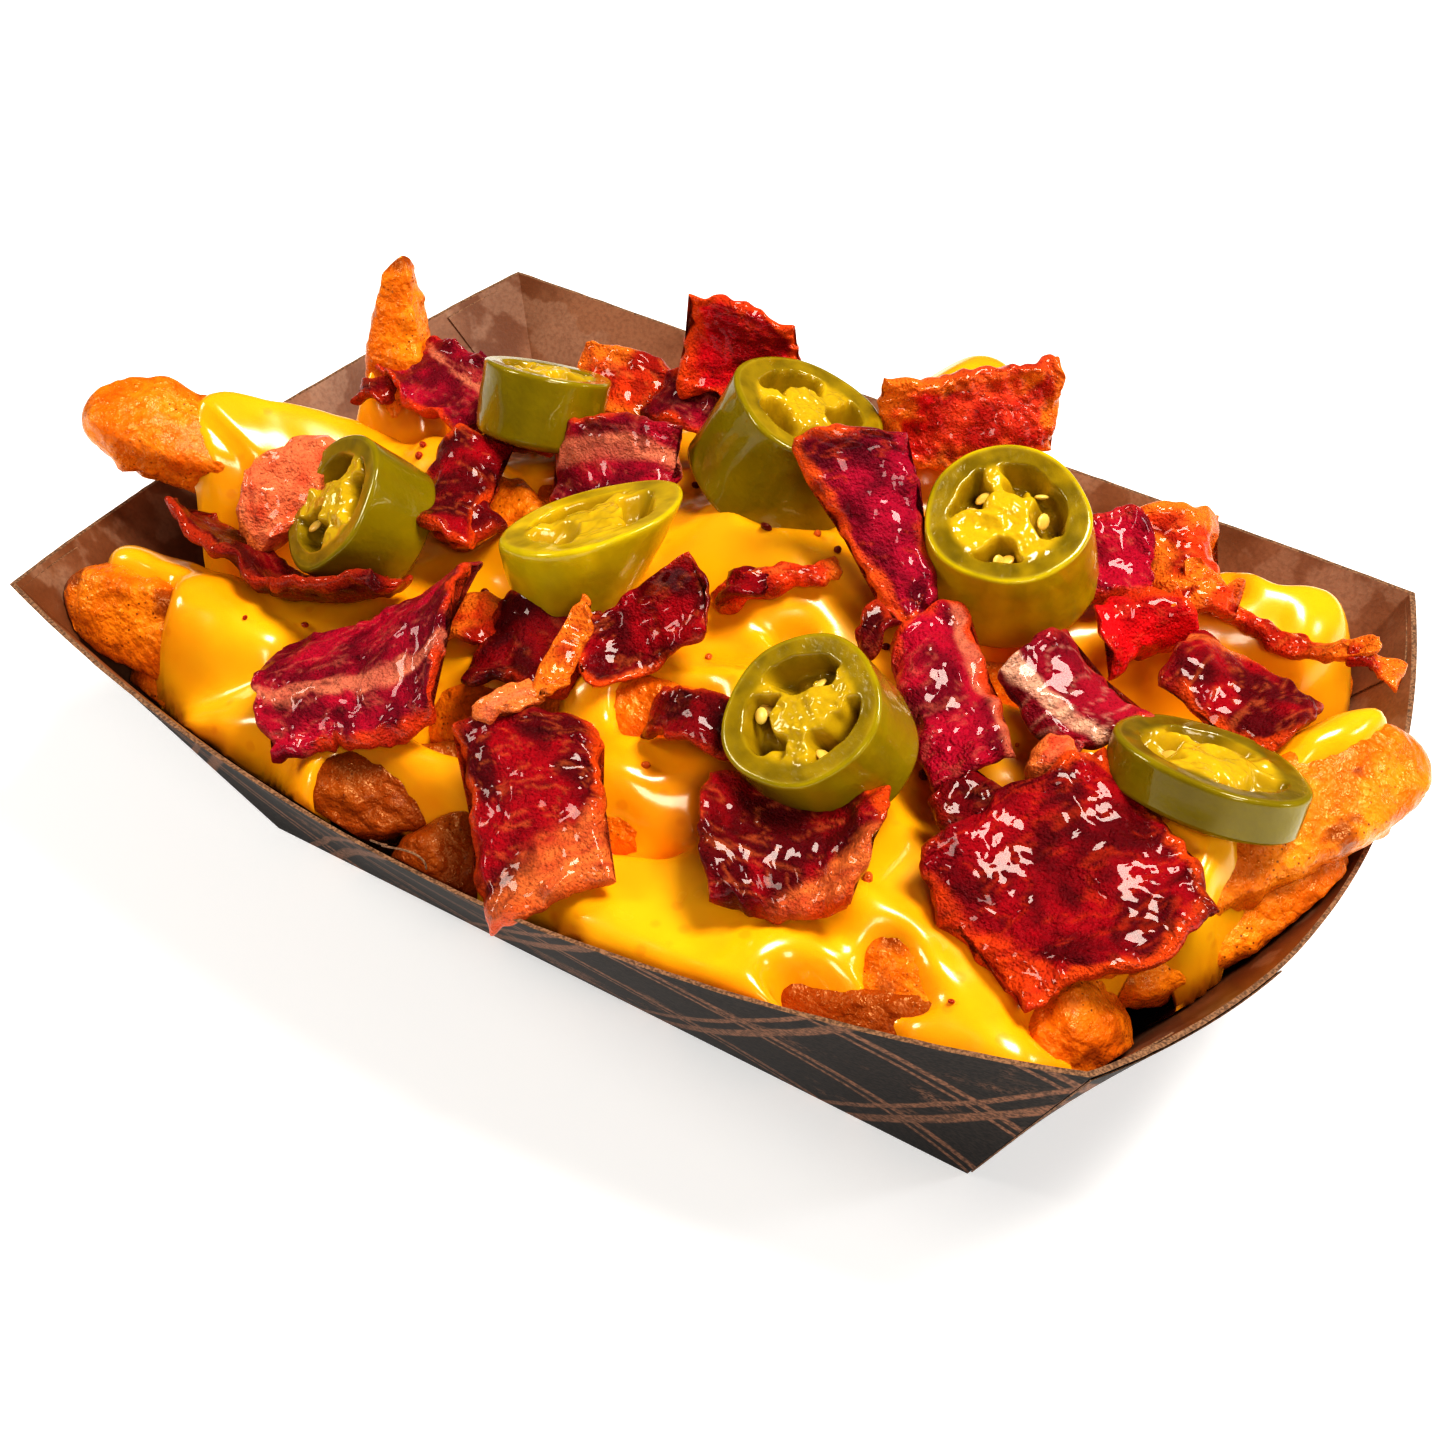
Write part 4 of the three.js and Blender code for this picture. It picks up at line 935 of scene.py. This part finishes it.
def pepper_surface(size, cut, seed, bright):
    """Closed slice: rings run out over the cut face, round its edge, down the skin and in
    under the foot. The face is flat with rounded lips; between the heart and the wall it
    drops into the seed chambers, whose floor and heart are lumpy. A slanting cut stretches
    the slice along x and slides it back by set_back times the depth."""
    face, foot, height = size
    long, _, set_back = cut
    around = 150
    a = np.arange(around) / around * 2 * np.pi
    lobes = 1 + 0.02 * np.cos(3 * a + seed) + 0.012 * np.sin(5 * a + seed)
    r_face = np.linspace(0.02, 0.95, 54)
    R, A = np.meshgrid(r_face, a, indexing="ij")
    flat = np.stack([R * np.cos(A) * face, R * np.sin(A) * face, np.full(R.shape, 9.0 * seed)], axis=-1)
    wobble = uneven(flat, 3.2, seed, 2)
    wall_at = CHAMBER_WALL + 0.06 * wobble
    heart_at = HEART + 0.22 * uneven(flat, 4.0, seed + 5, 2)
    open_share = np.zeros(R.shape)
    degrees = np.degrees(A)
    rng = np.random.default_rng(300 + seed)
    spin = rng.uniform(0, 120)
    for start, end in CHAMBERS:
        start, end = start + rng.uniform(-12, 16), end - rng.uniform(-8, 26)
        around_here = (degrees + spin + 26 * uneven(flat, 4.5, seed + 21, 2)) % 360
        between_walls = eased(start - 5, start + 12, around_here) * eased(end + 5, end - 12, around_here)
        open_share = np.maximum(open_share, between_walls)
    open_share = open_share * eased(heart_at - 0.05, heart_at + 0.12, R)
    open_share = open_share * eased(wall_at + 0.03, wall_at - 0.06, R)
    lumpy = uneven(flat, 2.4, seed + 9, 3)
    floor = 0.34 * height + 1.4 * lumpy
    pulp_bump = 0.9 * lumpy * eased(0.78, 0.6, R) + 0.5 * eased(0.45, 0.2, R)
    dished = -0.15 * eased(0.97, 0.70, R) * (1 + 0.5 * uneven(flat, 3.0, seed + 25, 2))
    z_face = -open_share * floor + pulp_bump * (1 - 0.6 * open_share) + dished
    radius_face = R * face * lobes[None, :]
    sides = 30
    s = np.linspace(0, 1, sides)
    # The first sixth of the side is the rounded lip.
    lip_turn = np.clip(s * 6, 0, 1) * np.pi / 2
    down = np.clip((s - 1 / 6) / (5 / 6), 0, 1)
    spread = (0.75 * down + 0.25 * down**2) * np.clip(s * 6 - 1, 0, 1) ** 0.2
    side_r = face * (0.96 + 0.04 * np.sin(lip_turn)) + (foot - face) * spread
    side_z = -0.05 - 0.6 * (1 - np.cos(lip_turn)) - (height - 1.7) * down
    foot_r = np.array([0.97, 0.9, 0.6, 0.25]) * foot
    foot_z = np.array([-0.5, -0.95, -1.0, -1.0]) + side_z[-1]
    ring_r = np.concatenate([side_r, foot_r])
    ring_z = np.concatenate([side_z, foot_z])
    R2 = ring_r[:, None] * lobes[None, :]
    Z2 = np.broadcast_to(ring_z[:, None], R2.shape)
    radius = np.concatenate([radius_face, R2])
    z = np.concatenate([z_face, Z2])
    A2 = np.broadcast_to(a[None, :], radius.shape)
    x, y = radius * np.cos(A2) * long + set_back * z, radius * np.sin(A2)
    points = np.stack([x, y, z], axis=-1)
    dent = 0.22 * uneven(points, 6.0, seed + 13, 2)
    points[..., 0] += dent * np.cos(A2)
    points[..., 1] += dent * np.sin(A2)
    skin = np.concatenate([eased(0.92, 0.97, R), np.ones(R2.shape)])[..., None]
    pulp = np.concatenate([eased(0.76, 0.62, R), np.zeros(R2.shape)])[..., None]
    hollow = np.concatenate([open_share, np.zeros(R2.shape)])[..., None]
    spots = np.concatenate([flat, np.zeros(R2.shape + (3,))])
    flesh = FLESH * bright[1] * (1 + 0.6 * uneven(spots, 2.6, seed + 27, 3)[..., None])
    tint = flesh * (1 - pulp) + PULP * pulp
    # Painted shade: the open seed chambers darken towards a dark olive the deeper they lie.
    deep = eased(-0.1, 0.5, np.concatenate([-z_face / height, Z2 * 0]))[..., None]
    shaded = 0.45 * hollow * deep
    tint = tint * (1 - shaded) + PAINTED_CHAMBER_SHADE * shaded
    streak = 0.5 + 0.5 * uneven(points * (1, 1, 0.25), 4.0, seed + 17, 2)
    skin_colour = SKIN * (0.75 + 0.5 * streak[..., None]) * bright[0]
    tint = tint * (1 - skin) + skin_colour * skin
    # Painted highlight: a thin pale line round the face near its lip.
    to_edge = np.concatenate([R, np.ones(R2.shape)])
    rim_highlight = np.exp(-(((to_edge - 0.93) / 0.012) ** 2))[..., None] * 0.12
    tint = tint * (1 - rim_highlight) + RIM_HIGHLIGHT * rim_highlight
    pole_heights = (float(z_face[0].mean()), float(ring_z[-1]))
    ends = np.array([[set_back * height, 0, height] for height in pole_heights])
    all_points = np.concatenate([points.reshape(-1, 3), ends])
    all_tint = np.concatenate([tint.reshape(-1, 3), tint[0, :1], tint[-1, :1]])
    return all_points, ringed(len(points), around, flipped=True), all_tint


def leaned(points, face, lean, heading, turn):
    """Points turned about +Z, leaned from upright towards the heading, and moved so that
    the cut face's middle is in its place."""
    placed = turned_by(heading, -lean, 0) @ turned_by(turn - heading, 0, 0)
    return points @ placed.T + np.array(face)


# Pepper: translucent olive and yellow green, wet.
pickled, tree, shader = finish(
    "pickled_pepper", Roughness=0.25, Specular_IOR_Level=0.2, Subsurface_Weight=0.3, Subsurface_Scale=0.0025,
    Coat_Weight=0.6, Coat_Roughness=0.03
)
shader.inputs["Subsurface Radius"].default_value = (1.0, 0.85, 0.12)
patches, grain, _ = mottled(tree, 130, 1300, 700)
colour = blend_colours(tree, ramp(tree, patches, 0.35, 0.7, 0, 0.3), tinted(tree), (0.16, 0.12, 0.004))
tree.links.new(colour, shader.inputs["Base Color"])
tree.links.new(ramp(tree, patches, 0.3, 0.7, 0.12, 0.26), shader.inputs["Roughness"])
raised(tree, shader, maths(tree, "MULTIPLY_ADD", grain, 0.15, patches), 0.4, 0.001)

# Seeds: cream, going brown in patches.
seed_pale, tree, shader = finish("pepper_seed", Roughness=0.3, Subsurface_Weight=0.15, Subsurface_Scale=0.001)
patches, _, _ = mottled(tree, 300, 1500, 900)
tree.links.new(
    blend_colours(tree, ramp(tree, patches, 0.35, 0.65), (0.90, 0.66, 0.16), (0.72, 0.42, 0.07)),
    shader.inputs["Base Color"],
)


def pebble(middle, half, turn, rows=7, columns=12):
    """Flattened round body: a ball of u and v stretched by its three half sizes and turned."""
    u = np.linspace(0, np.pi, rows + 2)[1:-1, None]
    v = np.arange(columns)[None, :] / columns * 2 * np.pi
    ball = np.stack([np.sin(u) * np.cos(v), np.sin(u) * np.sin(v), np.cos(u) * np.ones_like(v)], axis=-1)
    points = np.concatenate([ball.reshape(-1, 3), [[0, 0, 1.0]], [[0, 0, -1.0]]]) * half
    return points @ turned_by(*turn).T + middle, ringed(rows, columns, flipped=True)


SEED_HALF = (1.35, 1.1, 0.4)
seeds = []
for number, (name, (face, size, lean, heading, cut, bright)) in enumerate(PEPPERS.items()):
    points, faces, tint = pepper_surface(size, cut, number + 2, bright)
    points = leaned(points, face, lean, heading, cut[1])
    toppings.append((points, PEPPER_SUNK))
    slice_piece = lay(name + "_slice", points, faces, [pickled], colours=tint)
    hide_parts(name)
    rng = np.random.default_rng(200 + number)
    for start, end in CHAMBERS:
        for _ in range(2):
            a = math.radians(rng.uniform(start + 15, end - 15))
            r = size[0] * rng.uniform(0.38, 0.6)
            depth = rng.uniform(1.6, 3.2)
            middle = np.array([r * math.cos(a) * cut[0] - cut[2] * depth, r * math.sin(a), -depth])
            turns = (rng.uniform(0, 360), rng.uniform(-50, 50), rng.uniform(-50, 50))
            seed_points, seed_faces = pebble(middle, SEED_HALF, turns)
            seeds.append((leaned(seed_points, face, lean, heading, cut[1]), seed_faces))
points, faces, _ = joined(seeds)
seed_piece = lay("pepper_seeds", points, faces, [seed_pale])

# ------------------------------------------------------------------ cheese sauce
# Warm processed cheese, poured in broad strokes: it bridges the gaps, lies thin on the
# wedges' backs, ends in thick rounded lips, and has settled round the toppings' undersides.
# Each stroke of the pour: x and y of its start, x and y of its end, half width.
POURS = [
    (-55, -44, -20, -44, 18), (-74, -40, -86, -43, 5), (-60, -20, 10, -18, 24), (-74, 2, -60, 12, 12),
    (-72, -12, -82, -19, 9), (12, -52, 42, -56, 16), (20, -20, 60, -30, 22), (66, -52, 76, -52, 7),
    (56, -38, 70, -49, 4.5), (-30, 14, 40, 18, 26), (40, 10, 66, 18, 17), (62, 26, 78, 38, 9),
    (84, -14, 89, -24, 3.5), (80, 0, 86, 4, 6), (88, 4, 95, 13, 4.5), (0, 36, 26, 48, 10),
    (-34, -58, -24, -62, 9),
]
# Places that the pour missed, where bare crust shows.
BARE = [
    (-100, -57, -78, -56, 8), (-104, -38, -88, -33, 7), (-24, -64, -8, -63, 7),
    (14, -53, 22, -50.5, 3.6), (14.5, -14.5, 21, -13, 2.4), (9, -35, 15, -33, 5),
    (-42, -8, -34, 0, 8), (-20, -48, -8, -42, 6), (50, -61.5, 62, -60, 3.6),
    (57.5, -53, 65, -54.5, 2.4), (82, -47, 88, -43, 7), (45, -2, 51, 2, 5),
    (95, -20, 102, -2, 6), (101, 4, 107, 18, 6), (74, 44, 84, 54, 4),
]
# Where the sauce has run level: a stroke and the sauce's height there.
POOLS = [
    (2, 2, 12, -2, 6, 65.5), (14, -57, 46, -60, 12, 45.5), (62, -52, 74, -53, 6, 41.0),
    (-48, -54, -36, -58, 8, 44.0),
]
CELL = 0.85  # spacing of the sauce's grid
EDGE_REACH = -2.5  # level line of the reach at which the sheet ends, under its lip
LIP = 2.8  # how far in from its edge the sauce reaches its full thickness
STROKE_BLEND = 5.0  # how softly two strokes run together
HANG = 0.8  # steepest slope of the hollow round a topping
PRESS_DEPTH = 7  # deepest that a topping presses into the sauce
GAP_DEPTH = 16  # deepest of the heap's gaps, below its mound
UNDER_REACH = -3  # level line of the reach out to which grid cells are kept
xs = np.arange(-112, 112.1, CELL)
ys = np.arange(-76, 70.1, CELL)
X, Y = np.meshgrid(xs, ys, indexing="ij")


def blurred(field, reach):
    """Field smoothed by a bell curve of that reach, through its waves."""
    fx = np.fft.fftfreq(field.shape[0], CELL)[:, None]
    fy = np.fft.rfftfreq(field.shape[1], CELL)[None, :]
    bell = np.exp(-2 * (np.pi * reach) ** 2 * (fx**2 + fy**2))
    return np.fft.irfft2(np.fft.rfft2(field) * bell, s=field.shape)


def widest(field, steps, pick=np.maximum):
    """Largest value within that many cells each way, or smallest with pick=np.minimum."""
    for axis in (0, 1):
        best = field
        for step in range(1, steps + 1):
            best = pick(best, pick(np.roll(field, step, axis), np.roll(field, -step, axis)))
        field = best
    return field


def between(field, x, y):
    """Field at places between the grid points, in proportion to the four points around."""
    i = np.clip((x - xs[0]) / CELL, 0, len(xs) - 1.001)
    j = np.clip((y - ys[0]) / CELL, 0, len(ys) - 1.001)
    a, b = i.astype(int), j.astype(int)
    f, g = i - a, j - b
    low = field[a, b] * (1 - f) + field[a + 1, b] * f
    high = field[a, b + 1] * (1 - f) + field[a + 1, b + 1] * f
    return low * (1 - g) + high * g


def cells_of(points):
    """Rows and columns of the grid that lie nearest to the points."""
    ix = np.clip(np.round((points[:, 0] - xs[0]) / CELL).astype(int), 0, len(xs) - 1)
    iy = np.clip(np.round((points[:, 1] - ys[0]) / CELL).astype(int), 0, len(ys) - 1)
    return ix, iy


heap = np.full(X.shape, -1.0)
for i, (points, *_) in enumerate(wedge_shapes + under_shapes):
    if i != STANDING:
        np.maximum.at(heap, cells_of(points), points[:, 2])
heap = widest(widest(heap, 2), 1, np.minimum)
heap = np.maximum(heap, mound(X, Y) - GAP_DEPTH)
# Gaps that are up to eight cells wide are bridged.
bridged = widest(widest(heap, 4), 4, np.minimum)


def capsule(x0, y0, x1, y1, half):
    """How far each grid point lies inside a stroke of that half width between two points."""
    dx, dy = x1 - x0, y1 - y0
    t = np.clip(((X - x0) * dx + (Y - y0) * dy) / (dx * dx + dy * dy), 0, 1)
    return half - np.hypot(X - x0 - t * dx, Y - y0 - t * dy)


smooth_heap = np.maximum(blurred(bridged, 2.6), blurred(heap, 1.0))
for x0, y0, x1, y1, half, level in POOLS:
    pooled = level - 2.0 + 0.08 * (Y - y0) - 0.5 * np.clip(5 - capsule(x0, y0, x1, y1, half), 0, None)
    smooth_heap = np.maximum(smooth_heap, np.where(pooled > level - 14, pooled, -9))
smooth_heap = blurred(smooth_heap, 0.8)
base = blurred(np.maximum(heap, smooth_heap - 2.2), 1.4)
reach = np.full(X.shape, -99.0)
for x0, y0, x1, y1, half in POURS:
    distance = capsule(x0, y0, x1, y1, half)
    blend = np.clip(0.5 + 0.5 * (distance - reach) / STROKE_BLEND, 0, 1)
    reach = reach * (1 - blend) + distance * blend + 0.5 * STROKE_BLEND * blend * (1 - blend)
for x0, y0, x1, y1, half in BARE:
    reach = np.minimum(reach, -capsule(x0, y0, x1, y1, half))
flat = np.stack([X, Y, X * 0], axis=-1)
reach = reach + 2.4 * uneven(flat, 13.0, 21, 2) + 1.1 * uneven(flat, 5.0, 23, 1) + 0.5
# The reach ends at the tray's bowed walls, but hangs over the rim at the ends where it is high.
long_wall = 60.6 + 10 * np.clip(1 - (X / 92) ** 2, 0, None) - np.abs(Y)
end_wall = 90.5 + 14 * np.clip(1 - (Y / 62) ** 2, 0, None) - np.abs(X)
over_rim = 2.5 * np.clip(base - 47, 0, 8)
reach = np.minimum(reach, np.minimum(long_wall, end_wall + over_rim))
reach = blurred(reach, 1.1)

# The sauce's upper surface: the smoothed heap plus a thickness, rounded down to the lip at its
# edge and lowered where toppings lie; beyond the edge it sinks under the lip.
depth = np.clip(reach, 0, None)
lip = np.sqrt(np.clip(1 - (1 - np.clip(depth / LIP, 0, 1)) ** 2, 0, 1))
thick = 1.5 + 0.7 * uneven(flat, 16.0, 33, 2) + 0.55 * uneven(flat, 6.5, 35, 2)
crown = np.maximum(smooth_heap, base + 0.3) + thick
crown = crown + 0.4 * np.exp(-((depth - 3.2) / 2.2) ** 2)
pressed = np.full(X.shape, 200.0)
for points, sunk in toppings:
    np.minimum.at(pressed, cells_of(points), points[:, 2] + sunk)
for _ in range(9):
    for axis in (0, 1):
        nearby = np.minimum(np.roll(pressed, 1, axis), np.roll(pressed, -1, axis))
        pressed = np.minimum(pressed, nearby + HANG * CELL)
crown = blurred(np.maximum(np.minimum(crown, pressed), crown - PRESS_DEPTH), 0.7)
top = base - 0.6 + lip * np.maximum(crown - base + 0.6, 0.4) + 2.2 * np.clip(reach, -4, 0)
under = np.minimum(base - 0.6, top) - 1.5
inside = reach > UNDER_REACH
keep = (inside[:-1, :-1] & inside[1:, :-1] & inside[1:, 1:] & inside[:-1, 1:]).ravel()
index = np.arange(X.size).reshape(X.shape)
cell_corners = [index[:-1, :-1], index[1:, :-1], index[1:, 1:], index[:-1, 1:]]
quads = np.stack(cell_corners, axis=-1).reshape(-1, 4)[keep]
used = np.unique(quads)
slot_of = np.full(X.size, -1, dtype=np.int64)
slot_of[used] = np.arange(len(used))
top_quads = slot_of[quads]
# An edge that no quad runs along the other way lies on the sauce's rim.
edge_pairs = np.concatenate([top_quads[:, pair] for pair in ([0, 1], [1, 2], [2, 3], [3, 0])])
key = edge_pairs[:, 0] * len(used) + edge_pairs[:, 1]
back_key = edge_pairs[:, 1] * len(used) + edge_pairs[:, 0]
rim_edges = edge_pairs[~np.isin(key, back_key)]
place = np.stack([X, Y], axis=-1).reshape(-1, 2)[used]
# The outermost points slide onto one level line of the reach, so that the edge runs smoothly.
rim = np.unique(rim_edges)
slope = np.stack(np.gradient(reach, CELL), axis=-1).reshape(-1, 2)[used[rim]]
steepness = np.linalg.norm(slope, axis=1, keepdims=True) + 0.1
slide = np.clip((EDGE_REACH - reach.reshape(-1, 1)[used[rim]]) / steepness, -0.7 * CELL, 0.7 * CELL)
place[rim] += slope / steepness * slide
top_points = np.concatenate([place, between(top, *place.T)[:, None]], axis=1)
under_points = np.concatenate([place, between(under, *place.T)[:, None] - 0.15], axis=1)
n = len(used)
skirt = np.stack([rim_edges[:, 0], rim_edges[:, 0] + n, rim_edges[:, 1] + n, rim_edges[:, 1]], axis=-1)

# Cheese: saturated yellow orange, deeper where it is thin, with a wet highlight.
cheese, tree, shader = finish(
    "cheese_sauce", Roughness=0.2, Subsurface_Weight=0.22, Subsurface_Scale=0.003,
    Coat_Weight=0.35, Coat_Roughness=0.12,
)
shader.inputs["Subsurface Radius"].default_value = (1.0, 0.55, 0.1)
patches, _, specks = mottled(tree, 38, 500, 260)
colour = blend_colours(tree, ramp(tree, patches, 0.35, 0.65), (0.97, 0.385, 0.005), (1.0, 0.50, 0.008))
colour = blend_colours(tree, maths(tree, "MULTIPLY", specks, 0.18), colour, (0.60, 0.10, 0.01))
tree.links.new(colour, shader.inputs["Base Color"])
tree.links.new(ramp(tree, patches, 0.3, 0.7, 0.16, 0.28), shader.inputs["Roughness"])
raised(tree, shader, patches, 0.25, 0.0012)

sauce_shapes = [(np.concatenate([top_points, under_points]), [top_quads, top_quads[:, ::-1] + n, skirt])]
# The thin wedge that stands up carries a sleeve of sauce: its own surface, smoother, pushed
# out up to a ragged edge and drawn in above it.
SLEEVE_GRID = (70, 60)
SLEEVE_THICKNESS, SLEEVE_SUNK = 2.6, 1.3
sleeve, sleeve_faces, _ = wedge_surface(
    *SHOWN_WEDGES[STANDING], seed=10 + STANDING, grid=SLEEVE_GRID, point=STANDING_POINT, bumps=0.6
)
rows, columns = SLEEVE_GRID
share = np.linspace(0, 1, rows)[:, None]
v = np.arange(columns)[None, :] / columns * 2 * np.pi
ragged_edge = 0.54 + 0.06 * np.sin(v + 1.0) + 0.05 * np.sin(3 * v) + 0.03 * np.sin(5 * v + 2)
off = np.sqrt(np.clip((ragged_edge - share) / 0.10, 0, 1)) * SLEEVE_THICKNESS - SLEEVE_SUNK
body = sleeve[:-2].reshape(rows, columns, 3)
middle = body.mean(axis=1, keepdims=True)
radius = np.linalg.norm(body - middle, axis=-1, keepdims=True) + 1e-9
body = middle + (body - middle) * np.maximum(1 + off[..., None] / radius, 0.3)
ends = sleeve[-2:] + np.array([[0.05], [-0.05]]) * (sleeve[-1] - sleeve[-2])
sauce_shapes.append((np.concatenate([body.reshape(-1, 3), ends]), sleeve_faces))
points, faces, _ = joined(sauce_shapes)
sauce = lay("cheese_sauce_poured", kept_inside(points, 0.5), faces, [cheese])
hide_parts("cheese_sauce")

# ------------------------------------------------------------------ scraps and crumbs
# Small torn scraps and fried crumbs of the same bacon, dropped last: they lie where they fell
# on the sauce, against the larger pieces and over their edges.
# middle, (length, width, thickness), (turn, tip, roll), (bow, curl), tone
SCRAPS = [
    ((-2.2, -39.5, 61.5), (17, 3.6, 1.8), (97, 30, 20), (-1.5, 0), CRISP),
    ((-4.5, -50, 58), (9, 4, 1.2), (60, 12, 30), (1, 0.5), FAT),
    ((-24, -36, 55), (15, 9, 2.2), (20, 5, 15), (1, 1), CRISP),
    ((63.5, -17.5, 56), (8, 6, 5), (100, 10, 10), (0.5, 0.5), FAT),
    ((11, -13, 62), (7, 6, 2.2), (10, 10, 20), (1, 1), LEAN),
    ((33, -14, 63), (7, 5, 2.0), (70, 20, 10), (1, 1), DARK),
    ((-38, -17, 58), (10, 7, 2.4), (80, -10, 15), (1, 1), DARK),
    ((-44, 3, 61), (13, 6, 2.0), (20, 5, 20), (1, 1), DARK),
    ((-22, 20, 67), (16, 9, 2.2), (-10, 8, 40), (2, 1), PURPLE),
    ((-54, 12, 61), (9, 7, 2.0), (40, 0, 10), (1, 1), RED),
    ((-75, 3, 60), (7, 5, 1.8), (10, 10, 10), (1, 1), DARK),
    ((40, -30, 56), (9, 6, 2.2), (30, 10, 20), (1, 1), CRISP),
    ((68, 24, 60), (12, 6, 2.0), (40, -10, 15), (1, 1), CRISP),
    ((93, 28, 56), (8, 4, 1.8), (10, -10, 15), (1, 0.5), CRISP),
    ((57, -30, 55), (9, 6, 2.0), (75, 10, 10), (1, 1), DARK),
    ((30, -27, 60), (7, 4, 1.6), (120, 5, 10), (1, 0.5), DARK),
]
scraps = []
for number, (at, size, turns, bends, tone) in enumerate(SCRAPS):
    points, faces, tint = bacon_surface(size, bends, tone, None, None, 60 + number)
    scraps.append((points @ turned_by(*turns).T + np.array(at), faces, tint))
points, faces, tint = joined(scraps)
scrap_piece = lay("bacon_scraps", points, faces, [glazed], colours=tint)

CRUMBS = 90
CRUMB_COLOURS = ((0.50, 0.05, 0.012), (0.20, 0.012, 0.006), (0.75, 0.16, 0.02))
rng = np.random.default_rng(77)
crumbs = []
for _ in range(CRUMBS):
    x, y = rng.uniform(-78, 84), rng.uniform(-56, 40)
    i, j = int(round((x - xs[0]) / CELL)), int(round((y - ys[0]) / CELL))
    if reach[i, j] < 2:
        continue
    half = rng.uniform(0.35, 0.95) * rng.uniform(0.6, 1.2, 3)
    middle = np.array([x, y, top[i, j] + 0.3])
    crumb, crumb_faces = pebble(middle, half, tuple(rng.uniform(0, 360, 3)), rows=4, columns=8)
    colour = CRUMB_COLOURS[rng.choice(len(CRUMB_COLOURS))]
    crumbs.append((crumb, crumb_faces, np.tile(colour, (len(crumb), 1))))
points, faces, tint = joined(crumbs)
crumb_piece = lay("bacon_crumbs", points, faces, [glazed], colours=tint)
